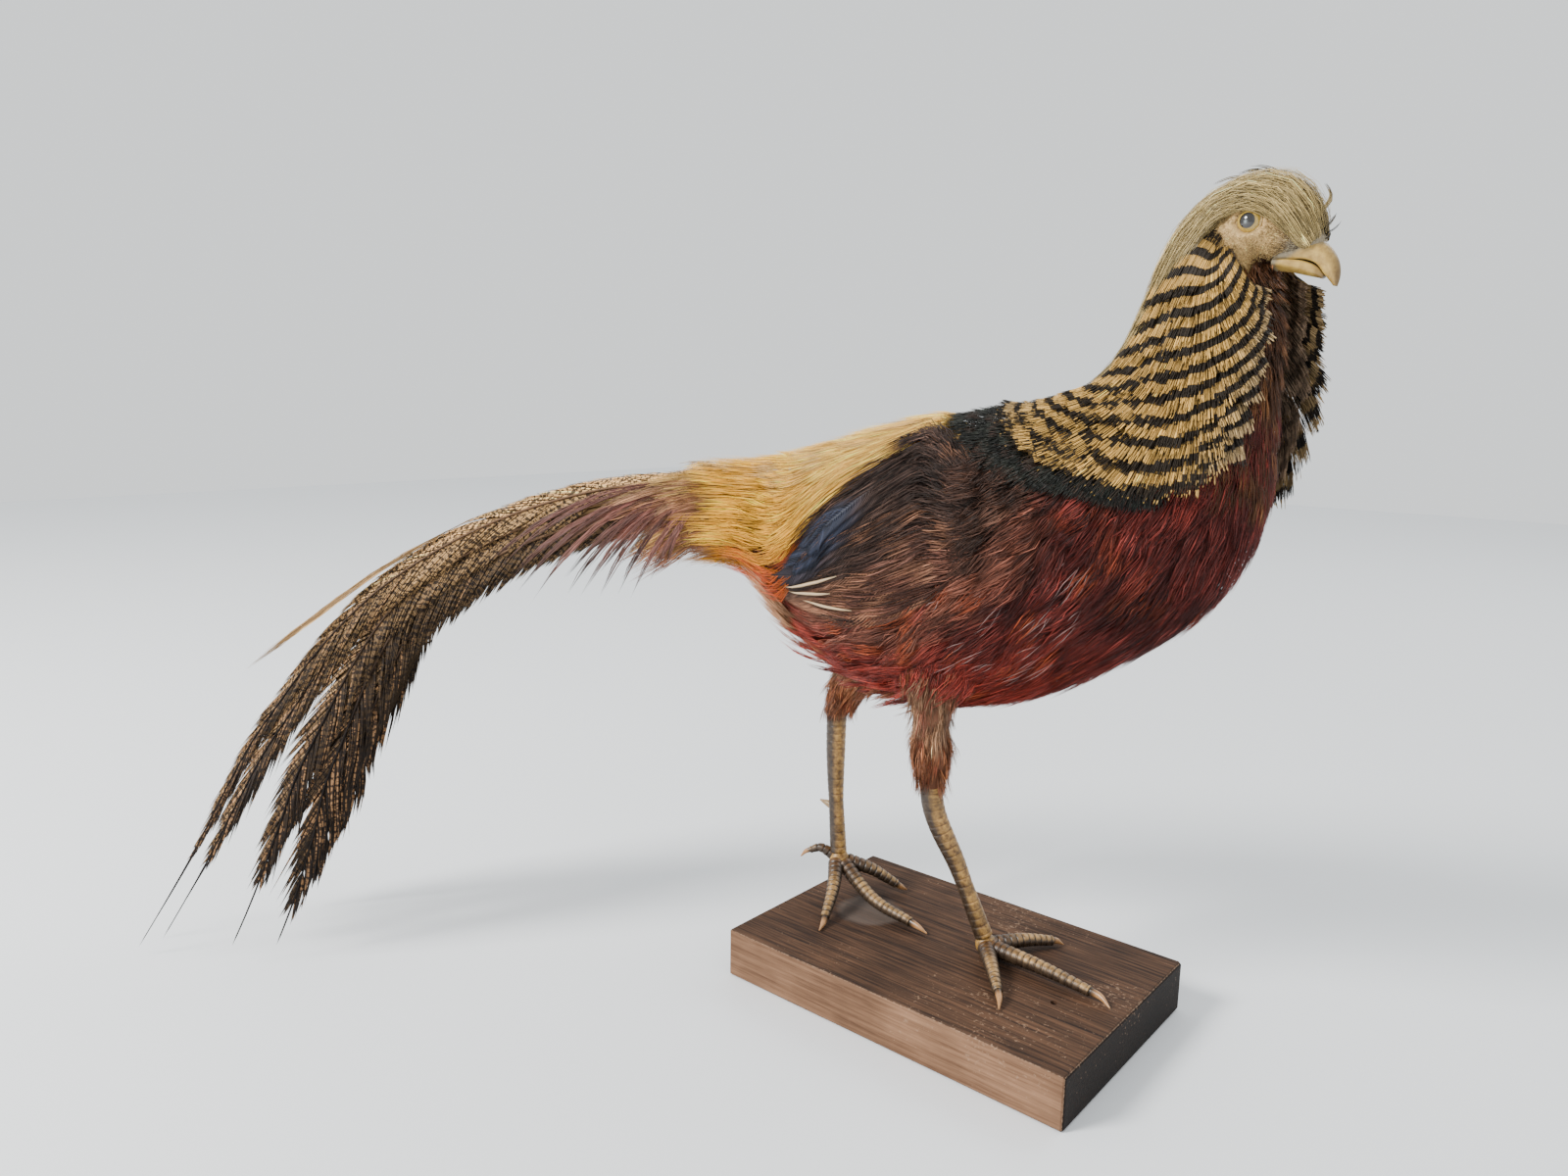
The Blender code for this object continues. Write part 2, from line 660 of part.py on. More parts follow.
def make_bill():
    lower = loft("bill_lower", bill_rings(BILL_LOWER))
    upper = loft("bill_upper", bill_rings(BILL_UPPER))
    holes = [ball("nostril", bent(NOSTRIL_AT[0], side * NOSTRIL_SIDE, NOSTRIL_AT[1]), NOSTRIL_RADIUS, 8, 6)
             for side in (1, -1)]
    combine(upper, holes, "DIFFERENCE")
    node("bill_lower", lower, finish(BILL_HORN, HORNY))
    node("bill_upper", upper, finish(BILL_HORN, HORNY))


def even(start, end, count):
    return [start + (end - start) * k / (count - 1) for k in range(count)]


def seat(obj):
    return combine(obj, [flesh_cutter()], "DIFFERENCE")


def comb(place, roots, tips, half, heights):
    """A row of plumes that share one root band and part towards their tips."""
    stops = even(0.0, 1.0, len(COVERT_SHAPE))
    grid = []
    for root, tip, rise in zip(roots, tips, heights):
        rows = []
        for u, wide, low in zip(stops, COVERT_SHAPE, rise):
            x = root[0] + (tip[0] - root[0]) * u
            y = root[1] + (tip[1] - root[1]) * u
            edges = (y - half * wide, y + half * wide)
            rows.append([place(x, e, low + COVERT_VANE) for e in edges]
                        + [place(x, e, low) for e in edges])
        grid.append(rows)
    points = [p for rows in grid for row in rows for p in row]
    last = len(stops) - 1

    def at(finger, stop, corner):
        return (finger * len(stops) + stop) * 4 + corner

    def quad(a, b, c, d):
        return [(a, b, c), (a, c, d)]

    faces = []
    for j in range(len(grid)):
        for k in range(last):
            for corner in (0, 2):
                faces += quad(at(j, k, corner), at(j, k, corner + 1),
                              at(j, k + 1, corner + 1), at(j, k + 1, corner))
            for corner, outer in ((0, 0), (1, len(grid) - 1)):
                if k or j == outer:
                    faces += quad(at(j, k, corner), at(j, k + 1, corner),
                                  at(j, k + 1, corner + 2), at(j, k, corner + 2))
        for k in (0, last):
            faces += quad(at(j, k, 0), at(j, k, 1), at(j, k, 3), at(j, k, 2))
        if j:
            for corner in (0, 2):
                faces += quad(at(j - 1, 0, corner + 1), at(j, 0, corner),
                              at(j, 1, corner), at(j - 1, 1, corner + 1))
            for k in (0, 1):
                faces += quad(at(j - 1, k, 1), at(j, k, 0), at(j, k, 2), at(j - 1, k, 3))
    return solid("comb", points, faces)


def zip_rows(near, far):
    """Triangles between two rows of points that may differ in count."""
    faces, i, j = [], 0, 0
    while i < len(near) - 1 or j < len(far) - 1:
        ahead_near = (i + 1) / max(1, len(near) - 1)
        ahead_far = (j + 1) / max(1, len(far) - 1)
        if j == len(far) - 1 or (i < len(near) - 1 and ahead_near <= ahead_far):
            faces.append((near[i], near[i + 1], far[j]))
            i += 1
        else:
            faces.append((near[i], far[j + 1], far[j]))
            j += 1
    return faces


def plumage(name, place, lines, rows, start, end, rib=MIDRIB):
    """A core plate over the body whose upper face runs out into rows of plumes.

    Each row is its place along the tract and its plumes; each plume is its
    first and last line across, then stations of x, places across and height.
    """
    points, faces = [], []

    def line(x, h):
        points.extend(place(x, y, h) for y in lines)
        return list(range(len(points) - len(lines), len(points)))

    top, deep = [line(start, CORE)], [line(start, SINK)]
    for x, plumes in rows:
        upper, lower = line(x, CORE), line(x + ROOT_BAND, CORE)
        faces.extend(zip_rows(top[-1], upper))
        top += [upper, lower]
        deep += [line(x, SINK), line(x + ROOT_BAND, SINK)]
        for first, last, stations in plumes:
            rims = [upper[first:last + 1], lower[first:last + 1]]
            for x_at, across, low in stations:
                shell = [[], []]
                for k, y in enumerate(across):
                    ridge = rib if 0 < k < len(across) - 1 else 0.0
                    points.extend([place(x_at, y, low + VANE + ridge), place(x_at, y, low + ridge)])
                    shell[0].append(len(points) - 2)
                    shell[1].append(len(points) - 1)
                for face in (0, 1):
                    faces.extend(zip_rows(rims[face], shell[face]))
                for side in (0, -1):
                    faces.append((rims[0][side], shell[0][side], shell[1][side]))
                    faces.append((rims[0][side], shell[1][side], rims[1][side]))
                rims = shell
            faces.extend(zip_rows(*rims))
    top.append(line(end, CORE))
    deep.append(line(end, SINK))
    faces.extend(zip_rows(top[-2], top[-1]))
    for k in range(len(deep) - 1):
        faces.extend(zip_rows(deep[k], deep[k + 1]))
        for i in (0, -1):
            faces.append((top[k][i], top[k + 1][i], deep[k + 1][i]))
            faces.append((top[k][i], deep[k + 1][i], deep[k][i]))
    for k in (0, -1):
        faces.extend(zip_rows(top[k], deep[k]))
    return seat(solid(name, points, faces))


def brick_plumes(lines, row, stations):
    """Plumes of one row, two lines wide, shifted by one line in every other row."""
    spans = len(lines) - 1
    cuts = sorted({0, spans, *range(row % 2, spans + 1, 2)})
    return [(a, b, stations(k, lines[a], lines[b])) for k, (a, b) in enumerate(zip(cuts, cuts[1:]))]


def tract(name, place, lines, rows, shape):
    """Rows of overlapping plumes of one kind, as long as two rows."""
    first, last, count, rise = rows
    spacing = (last - first) / (count - 1)
    built = []
    for row, x in enumerate(even(first, last, count)):

        def stations(k, left, right, x=x, row=row):
            centre, half = (left + right) / 2, (right - left) / 2
            vary = 1.0 + 0.07 * math.sin(2.3 * k + 1.7 * row)
            places = [[centre - half * wide, centre, centre + half * wide] for wide in shape]
            places = [row if wide else [centre] for row, wide in zip(places, shape)]
            return [(x + spacing, places[0], CORE + rise / 2),
                    (x + 2 * spacing * vary, places[1], CORE + rise)]

        built.append((x, brick_plumes(lines, row, stations)))
    return plumage(name, place, lines, built, 0.0, last + CORE_BEYOND)


def make_crest():
    first, last, count = CREST_ROWS
    grid = even(first, last, count) + list(CREST_BEYOND)
    lines = even(-CREST_WIDE, CREST_WIDE, 2 * CREST_LOCKS + 1)
    rows = []
    for row in range(count):
        top = CREST_CLEAR + CREST_LAYER * (count - 1 - row)
        mean = CREST_SHORT + CREST_GROWS * row / (count - 1)

        def stations(k, left, right, row=row, top=top, mean=mean):
            centre, half = (left + right) / 2, (right - left) / 2
            tip = grid[row] + mean * (1.0 + 0.10 * math.sin(1.9 * k + 2.6 * row)) - 0.06 * abs(centre)
            tip = min(tip, CREST_END)
            path = []
            for x in [g for g in grid[row + 1:] if g < tip - 0.04] + [tip]:
                u = (x - grid[row]) / (tip - grid[row])
                middle = centre * (1.0 - 0.3 * u * row / count)
                wide = half * (1.0 - 0.65 * u)
                low = CORE + (top - CORE) * min(1.0, 0.75 + 0.25 * len(path))
                path.append((x, [middle] if x == tip else [middle - wide, middle + wide], low))
            return path

        rows.append((grid[row], brick_plumes(lines, row, stations)))
    crest = plumage("crest", crest_place, lines, rows, 0.0, CREST_CORE_END)
    node("crest", crest, finish(CREST_GOLD, SILKY))


def make_cape():
    for hand, side in (("right", 1), ("left", -1)):
        lines = even(0.0, 1.0, 2 * CAPE_PLUMES + 1)
        cape = tract("cape", cape_place(side, *CAPE_RUFF[hand]), lines, CAPE_ROWS, SQUARE)
        node("cape_" + hand, cape, finish(CAPE_GOLD, SILKY))


def covert_heights(y):
    """Half-way and tip height of the coverts in each row at a place across the wing."""
    count = COVERT_ROWS[2]
    stack = FLIGHT_LOW + FLIGHT_LAYER * max(0.0, len(FLIGHTS) * (1.0 - y) - 0.5) + VANE
    heights = [(0.75 * (stack + COVERT_OVER), stack + COVERT_OVER)]
    for _ in range(count - 1):
        tip = heights[0][0] + COVERT_CLEAR
        heights.insert(0, (0.45 * tip, tip))
    return heights


def make_wings():
    for name, side in (("wing_right", 1), ("wing_left", -1)):
        count = len(FLIGHTS)
        lines = even(0.0, 1.0, count + 1)
        rows = []
        for row, x in enumerate(even(*COVERT_ROWS)):

            def stations(k, left, right, x=x, row=row):
                centre, half = (left + right) / 2, (right - left) / 2
                middle, tip = covert_heights(centre)[row]
                return [(x + 0.5 * COVERT_LENGTH, [left + 0.03 * half, centre, right - 0.03 * half],
                         CORE + middle),
                        (x + COVERT_LENGTH, [centre - 0.6 * half, centre + 0.6 * half], CORE + tip)]

            rows.append((x, brick_plumes(lines, row, stations)))
        flights = []
        for k, (tip_y, tip_x) in enumerate(FLIGHTS):
            root_y = (lines[k] + lines[k + 1]) / 2
            top = FLIGHT_LOW + FLIGHT_LAYER * (count - 1 - k)
            path = []
            shape = [row for row in FLIGHT_STATIONS if row[0] < tip_x - 0.03]
            for x, wide, share in [*shape, (tip_x, FLIGHT_TIP, 1.0)]:
                y = root_y + (tip_y - root_y) * (x - FLIGHT_ROOT) / (tip_x - FLIGHT_ROOT)
                half = wide / count
                path.append((x, [y - half, y, y + half] if x < tip_x else [y - half, y + half],
                             CORE + top * share))
            flights.append((k, k + 1, path))
        rows.append((FLIGHT_ROOT, flights))
        wing = plumage(name, wing_place(side), lines, rows, 0.0, FLIGHT_STATIONS[0][0], 0.0)
        node(name, wing, finish(WING_BROWN, SILKY))


def make_rump():
    lines = even(-1.0, 1.0, 2 * RUMP_PLUMES + 1)
    rump = tract("rump", rump_place, lines, RUMP_ROWS, POINTED)
    node("rump", rump, finish(RUMP_YELLOW, SILKY))


def make_vent():
    lines = even(-1.0, 1.0, 2 * VENT_PLUMES + 1)
    vent = tract("vent", vent_place, lines, VENT_ROWS, POINTED)
    node("vent", vent, finish(VENT_TAWNY, DOWNY))


def tail_feather(place, number, start, end):
    """One long feather between two distances: vane, then its bare quill."""
    centre, fall, wide, vane_end, quill_end = TAIL_FEATHERS[number]
    end = min(end, quill_end)
    if start < vane_end < end:
        count = 2 + int((vane_end - start) / TAIL_STEP)
        stops = even(start, vane_end, count) + [vane_end + QUILL_NECK, end]
    else:
        stops = even(start, end, 2 + int((end - start) / TAIL_STEP))
    low = -TAIL_DEEP - TAIL_LAYER * number
    width_at = (*TAIL_WIDTH_AT, vane_end - TAIL_TAPER, vane_end)
    upper, lower = [], []
    for x in stops:
        half = QUILL if x > vane_end else wide * np.interp(x, width_at, TAIL_WIDTH)
        middle = centre + fall * max(0.0, x - TAIL_BEND)
        upper.append([place(x, middle - half, low + VANE), place(x, middle + half, low + VANE)])
        lower.append([place(x, middle - half, low), place(x, middle + half, low)])
    return slab("feather", upper, lower)


def make_tail():
    deep = TAIL_DEEP + TAIL_LAYER * len(TAIL_FEATHERS)
    for name, side in (("tail_right", -1), ("tail_left", 1)):
        place = roof_place(side)
        lengths = (("_base", TAIL_ROOT, TAIL_ROOT[0], TAIL_CUT),
                   ("_end", (TAIL_CUT + GAP, TAIL_CUT + TAIL_BUNDLE), TAIL_CUT + GAP, ridge_a[-1]))
        for part, (near, far), start, end in lengths:
            core = patch(name + part, place, (near, far), even(*TAIL_CORE, 4), -deep,
                         VANE - TAIL_DEEP - TAIL_LAYER / 5)
            vanes = [tail_feather(place, k, start, end) for k in range(len(TAIL_FEATHERS))]
            combine(core, vanes, "UNION")
            node(name + part, core, finish(TAIL_TAN, SILKY))


def make_coverts():
    for name, side in (("coverts_right", -1), ("coverts_left", 1)):
        count = len(COVERT_TIPS)
        roots = [(COVERT_FROM[0], COVERT_FROM[1] + COVERT_SPACE * k) for k in range(count)]
        tops = [COVERT_BASE + COVERT_LAYER * (count - k) for k in range(count)]
        heights = [[COVERT_BASE, 0.5 * (COVERT_BASE + top), top, top + 0.4, top + 0.6] for top in tops]
        coverts = comb(roof_place(side), roots, COVERT_TIPS, 0.45 * COVERT_SPACE, heights)
        node(name, coverts, finish(COVERT_RED, SILKY))


def trace(path, steps):
    """Evenly spaced points of a smooth path and its directions there."""
    path = np.array(path, float)
    knots = chord_lengths(path)
    centres = np.array([smooth(path, a, knots) for a in np.linspace(0.0, knots[-1], steps)])
    tangents = np.gradient(centres, axis=0)
    return centres, tangents / np.linalg.norm(tangents, axis=1)[:, None]


def tube(name, path, radii, sides=8, steps=10, ridge=0.0):
    """A round limb along a smooth path, with raised scutes, flat on the block."""
    centres, tangents = trace(path, steps)
    sizes = np.interp(np.linspace(0.0, 1.0, steps), np.linspace(0.0, 1.0, len(radii)), radii)
    rings = []
    for k, (centre, along, size) in enumerate(zip(centres, tangents, sizes)):
        across = np.cross(along, (0.31, 0.22, 0.92))
        across /= np.linalg.norm(across)
        other = np.cross(along, across)
        size = size + (ridge if k % 2 == 0 else -ridge)
        ring = [centre + size * (math.cos(a) * across + math.sin(a) * other)
                for a in (2 * math.pi * j / sides for j in range(sides))]
        rings.append([(p[0], p[1], max(p[2], BLOCK_HEIGHT + GAP)) for p in ring])
    return loft(name, rings)


def make_legs():
    for side, rows in THIGHS.items():
        rings = []
        for x, y, z, long, wide in rows:
            rings.append([(x + long * math.cos(a), y + wide * math.sin(a), z)
                          for a in (2 * math.pi * k / 14 for k in range(14))])
        thigh = loft("thigh_" + side, rings)
        node("thigh_" + side, seat(thigh), finish(THIGH_RUST, DOWNY))
        foot = ball("foot_" + side, FEET[side], PAD_RADIUS, 10, 7)
        wide_pad = ball("pad", FEET[side], PAD_RADIUS + GAP + PAD_GAP, 10, 7)
        shank = tube("shank_" + side, SHANKS[side], SHANK_RADII, 8, SHANK_STEPS, SHANK_SCUTE)
        toes, wide_toes = [], [wide_pad]
        for which, points in TOES[side].items():
            share = HIND_SHARE if which == "hind" else 1.0
            radii = [r * share for r in TOE_RADII]
            toes.append(tube("toe", points[:3], radii, 6, TOE_STEPS, TOE_SCUTE))
            wide_toes.append(tube("wide_toe", points[:3], [r + GAP + TOE_GAP for r in radii], 6,
                                  TOE_STEPS))
            make_claw("claw_" + side + "_" + which, points, share)
        combine(foot, toes, "UNION")
        combine(shank, wide_toes, "DIFFERENCE")
        node("shank_" + side, shank, finish(LEG_BROWN, SCALY))
        node("foot_" + side, foot, finish(LEG_BROWN, SCALY))
        root, tip = (np.array(p) for p in SPURS[side])
        spur = tube("spur_" + side, (root, root * 0.4 + tip * 0.6, tip), SPUR_RADII, 8, 5)
        wide_shank = tube("wide", SHANKS[side], [r + GAP + SHANK_GAP for r in SHANK_RADII], 8, SHANK_STEPS)
        combine(spur, [wide_shank], "DIFFERENCE")
        node("spur_" + side, spur, finish(SPUR_HORN, HORNY))


def make_claw(name, points, share):
    """A claw carries on from its toe and curves down to its point."""
    centres, tangents = trace(points[:3], TOE_STEPS)
    start = centres[-1] + tangents[-1] * CLAW_START
    tip = np.array(points[3]) + np.array((0.0, 0.0, CLAW_LIFT))
    middle = start + tangents[-1] * CLAW_BEND * np.linalg.norm(tip - start)
    radius = CLAW_RADIUS * share
    claw = tube(name, (start, middle, tip), (radius, radius * 0.75, CLAW_POINT), 6, 5)
    node(name, claw, finish(CLAW_HORN, HORNY))


for old in list(bpy.data.objects):
    bpy.data.objects.remove(old)
make_block()
make_flesh()
make_head()
make_bill()
make_crest()
make_cape()
make_wings()
make_rump()
make_vent()
make_tail()
make_coverts()
make_legs()
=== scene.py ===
import math

import bmesh
import bpy
import numpy as np
from mathutils import Matrix, Vector


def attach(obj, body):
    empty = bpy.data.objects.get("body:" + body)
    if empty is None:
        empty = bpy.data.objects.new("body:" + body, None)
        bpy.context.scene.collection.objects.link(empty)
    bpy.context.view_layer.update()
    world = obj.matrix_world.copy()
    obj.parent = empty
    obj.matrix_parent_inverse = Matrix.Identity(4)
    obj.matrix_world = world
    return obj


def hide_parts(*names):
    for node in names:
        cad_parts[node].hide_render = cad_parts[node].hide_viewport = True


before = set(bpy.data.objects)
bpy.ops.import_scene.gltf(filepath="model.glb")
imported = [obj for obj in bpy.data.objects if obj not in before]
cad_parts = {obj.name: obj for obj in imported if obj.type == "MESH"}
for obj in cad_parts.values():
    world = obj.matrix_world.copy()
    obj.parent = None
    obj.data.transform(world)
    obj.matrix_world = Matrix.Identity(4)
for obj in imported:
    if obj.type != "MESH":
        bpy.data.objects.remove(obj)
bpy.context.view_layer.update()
mm = 0.001
dice = np.random.default_rng(41)

# where the camera stands, in metres, and which way each side of its picture runs
view = {
    "spot": (0.2606, -0.4388, 0.2916),
    "right": (0.76005506, 0.64965255, 0.01636657),
    "down": (0.12444017, -0.12077653, -0.98484906),
    "ahead": (-0.63783301, 0.75057618, -0.17263968),
    "lens": 25.04, "sensor": 36.0, "clip": 0.01,
}
camera = bpy.data.objects.new("camera", bpy.data.cameras.new("camera"))
bpy.context.scene.collection.objects.link(camera)
camera.data.lens = view["lens"]
camera.data.sensor_width = view["sensor"]
camera.data.clip_start = view["clip"]
columns = Matrix([view["right"], [-v for v in view["down"]], [-v for v in view["ahead"]]])
camera.matrix_world = Matrix.Translation(view["spot"]) @ columns.transposed().to_4x4()
bpy.context.scene.camera = camera
print("camera ready")

# millimetres and degrees; a station is a row number in sections, counted from the tail
bird = {
    "origin": (-31.0, 3.0),
    "turnAt": (-700.0, -450.0, -350.0, -250.0, -110.0, 0.0, 110.0, 150.0, 200.0),
    "turn": (58.0, 58.0, 54.0, 46.0, 30.0, 16.0, 6.0, -2.0, -8.0),
    # along, height, tilt, half-width, depth above, depth below
    "sections": (
        (-88.0, 236.0, -6.0, 21.0, 19.5, 20.0), (-76.0, 232.0, -4.0, 28.0, 26.0, 29.0),
        (-58.0, 222.0, 2.0, 37.0, 39.0, 48.0), (-30.0, 214.0, 5.0, 43.5, 55.0, 61.0),
        (5.0, 214.0, 6.0, 46.0, 64.0, 68.0), (40.0, 220.0, 12.0, 47.0, 65.0, 68.0),
        (72.0, 233.0, 28.0, 47.0, 60.0, 62.0), (96.0, 251.0, 45.0, 44.0, 52.0, 59.0),
        (112.0, 270.0, 60.0, 38.0, 45.5, 48.0), (122.0, 288.0, 74.0, 31.0, 37.5, 34.0),
        (127.0, 306.0, 83.0, 25.0, 31.0, 27.5), (130.0, 325.0, 86.0, 21.5, 25.5, 23.0),
        (132.0, 341.0, 78.0, 18.5, 21.5, 17.0), (137.0, 353.5, 50.0, 17.0, 18.5, 14.5),
        (145.0, 360.0, 15.0, 15.5, 15.5, 14.5), (154.0, 358.0, -12.0, 12.5, 14.5, 12.5),
        (160.0, 354.2, -30.0, 9.2, 11.0, 7.5), (165.0, 351.2, -42.0, 6.3, 6.0, 2.6),
    ),
    "eye": (144.0, 361.5, 11.6),  # along, height, out to the side
    # along, upper and lower edge, from the wing's front to its tip, and how far tips may pass it
    "wing": ((52.0, 52.0, 88.0), (36.0, 40.0, 93.0), (20.0, 30.0, 99.0), (-7.0, 49.0, 108.0),
             (-27.0, 62.0, 110.0), (-42.0, 79.0, 112.0), (-58.0, 101.0, 116.0),
             (-69.0, 115.0, 121.0)),
    "wingPast": 90.0,
    # along, and reach to each side
    "rump": ((28.0, 22.0), (20.0, 24.0), (-7.0, 43.0), (-27.0, 56.0), (-42.0, 72.0),
             (-58.0, 93.0), (-70.0, 106.0), (-80.0, 113.0), (-96.0, 117.0)),
    "rumpPast": 125.0,
    # angle from the nape, and the stations where the cape starts and ends
    "cape": ((3.0, 12.2, 5.75), (25.0, 12.2, 5.85), (50.0, 12.3, 6.2), (75.0, 12.4, 6.9),
             (100.0, 12.3, 7.4), (120.0, 12.0, 7.9), (134.0, 11.6, 8.5)),
    "capePast": 60.0,
    # how far the cape's front edge drops, and how far it stands off the throat, top to foot
    "ruff": {"right": (0.0, (2.0, 3.0, 3.0, 3.0, 3.0, 3.0, 3.0, 3.0)),
             "left": (0.42, (13.0, 11.0, 10.0, 12.5, 13.5, 11.5, 8.5, 4.0))},
    "ruffAt": (-0.1, 0.1, 0.25, 0.4, 0.55, 0.7, 0.85, 1.0),
    # station, and reach to each side
    "crest": ((17.0, 104.0), (15.0, 80.0), (13.56, 57.0), (12.44, 62.0), (11.53, 53.0),
              (10.75, 39.0), (10.05, 28.0), (9.33, 20.0), (8.65, 13.0)),
}


def smoothTable(rows, knots, at):
    # a smooth curve through the rows, read at any place along the knots
    slopes = np.gradient(rows, knots, axis=0)
    i = np.clip(np.searchsorted(knots, at) - 1, 0, len(knots) - 2)
    span = (knots[i + 1] - knots[i])[:, None]
    u = (at - knots[i])[:, None] / span
    return ((1 + 2 * u) * (1 - u) ** 2 * rows[i] + u * u * (3 - 2 * u) * rows[i + 1]
            + span * (u * (1 - u) ** 2 * slopes[i] + u * u * (u - 1) * slopes[i + 1]))


def runLengths(points):
    steps = np.linalg.norm(np.diff(points, axis=0), axis=1)
    return np.concatenate(([0.0], np.cumsum(steps)))


def smoothLine(rows, steps, columns=3):
    # the rows at even steps along the line that their first columns draw
    rows = np.array(rows, float)
    knots = runLengths(rows[:, :columns])
    return smoothTable(rows, knots, np.linspace(0, knots[-1], steps))


def readRows(rows, at):
    # every column of evenly spaced rows, read at a share of their length
    rows = np.array(rows)
    steps = np.linspace(0.0, 1.0, len(rows))
    return [np.interp(at, steps, rows[:, k]) for k in range(rows.shape[1])]


def unit(v):
    return v / np.maximum(np.linalg.norm(v, axis=-1, keepdims=True), 1e-9)


def ease(x, low, high):
    u = np.clip((x - low) / (high - low), 0.0, 1.0)
    return u * u * (3 - 2 * u)


def circle(count):
    return np.linspace(0, 2 * math.pi, count, endpoint=False)


spineS = np.arange(-700.0, 260.0, 1.0)
spineTurn = np.radians(np.interp(spineS, bird["turnAt"], bird["turn"]))
spineX = np.cumsum(np.cos(spineTurn))
spineY = np.cumsum(np.sin(spineTurn))
spineX += bird["origin"][0] - np.interp(0.0, spineS, spineX)
spineY += bird["origin"][1] - np.interp(0.0, spineS, spineY)
sections = np.array(bird["sections"])
sectionQ = runLengths(sections[:, :2])
bodyQ = np.arange(0.0, sectionQ[-1] + 0.4, 0.5)
bodyTable = smoothTable(sections, sectionQ, np.minimum(bodyQ, sectionQ[-1]))


def bent(s, t, z):
    # a straight bird's point (along, to the left, up) on the spine that curves
    turn = np.interp(s, spineS, spineTurn)
    x = np.interp(s, spineS, spineX) - np.sin(turn) * t
    y = np.interp(s, spineS, spineY) + np.cos(turn) * t
    return np.stack(np.broadcast_arrays(x, y, z), axis=-1)


def bodyPoint(q, angle, lift):
    # q runs from tail to bill, angle from the back and positive to the right, lift outward
    q, angle, lift = np.broadcast_arrays(np.asarray(q, float), angle, lift)
    s, z, tilt, wide, above, below = (np.interp(q, bodyQ, bodyTable[:, k]) for k in range(6))
    s = s + np.minimum(q, 0.0)
    tilt = np.radians(tilt)
    up = np.cos(angle)
    deep = up * (np.where(up > 0, above, below) + lift)
    out = -np.sin(angle) * (wide + lift)
    return bent(s - np.sin(tilt) * deep, out, z + np.cos(tilt) * deep)


def girth(q):
    wide, above, below = (np.interp(q, bodyQ, bodyTable[:, k]) for k in (3, 4, 5))
    return 0.5 * (wide + 0.5 * (above + below))


def qOf(s):
    return np.interp(s, sections[:, 0], sectionQ) + np.minimum(s - sections[0, 0], 0.0)


def sOf(q):
    return np.interp(q, sectionQ, sections[:, 0]) + np.minimum(q, 0.0)


def qAt(station):
    return np.interp(station, np.arange(len(sectionQ)), sectionQ)


def wingSpot(side):
    def spot(x, y):
        s, upper, lower = readRows(bird["wing"], x)
        past = np.maximum(x - 1.0, 0.0) * bird["wingPast"]
        return qOf(s - past), side * np.radians(upper + (lower - upper) * y)

    return spot


def rumpSpot(x, y):
    s, reach = readRows(bird["rump"], x)
    return qOf(s - np.maximum(x - 1.0, 0.0) * bird["rumpPast"]), np.radians(reach) * y


def capeSpot(side, drop):
    def spot(x, y):
        angle, top, low = readRows(bird["cape"], y)
        angle = angle + bird["capePast"] * np.maximum(y - 1.0, 0.0)
        low = low - drop * ease(y, 0.5, 1.0)
        return qAt(top) * (1.0 - x) + qAt(low) * x, side * np.radians(angle)

    return spot


def crestSpot(x, y):
    station, reach = readRows(bird["crest"], x)
    return qAt(station), np.radians(reach) * y


def tractPath(spot, start, end, lifts, stand=None):
    # centre lines over the body from start (x, y) to end (x, y), one row of lifts each
    u = np.linspace(0.0, 1.0, lifts.shape[1])[None]
    x = start[0][:, None] * (1 - u) + end[0][:, None] * u
    y = start[1][:, None] * (1 - u) + end[1][:, None] * u
    if stand is not None:
        lifts = lifts + stand(x, y)
    q, angle = spot(x, y)
    points = bodyPoint(q, angle, lifts)
    normals = unit(bodyPoint(q, angle, lifts + 1.0) - points)
    return points, normals, (q[:, 0], angle[:, 0]), x, y


def bodyPath(q, angle, heading, length, lifts, turn=0.0):
    # centre lines that leave a root straight back, turned towards the belly by heading
    count = lifts.shape[1]
    step = length / (count - 1)
    side = np.where(angle >= 0, 1.0, -1.0)
    allQ, allAngle = [q], [angle]
    for k in range(count - 1):
        way = heading + turn * k / count
        allQ.append(allQ[-1] - np.cos(way) * step)
        allAngle.append(allAngle[-1] + side * np.sin(way) * step / girth(allQ[-1]))
    allQ, allAngle = np.stack(allQ, 1), np.stack(allAngle, 1)
    points = bodyPoint(allQ, allAngle, lifts)
    return points, unit(bodyPoint(allQ, allAngle, lifts + 1.0) - points)


def bodyUv(root):
    # the body spread flat: round it in u, along it in v above the tail's own strip
    q, angle = root
    turn = (angle + math.pi) % (2 * math.pi) - math.pi
    along = np.clip(q / sectionQ[-1], -0.12, 1.0)
    return np.stack([0.5 + turn / (2 * math.pi) * 0.98, 0.12 + 0.86 * along], 1)


def alongLine(values, t):
    # read each line's stations at its own shares t
    f = np.clip(t, 0.0, 1.0) * (values.shape[1] - 1)
    i = np.minimum(f.astype(int), values.shape[1] - 2)
    w = (f - i)[..., None]
    m = np.arange(len(values))[:, None, None]
    return values[m, i] * (1 - w) + values[m, i + 1] * w


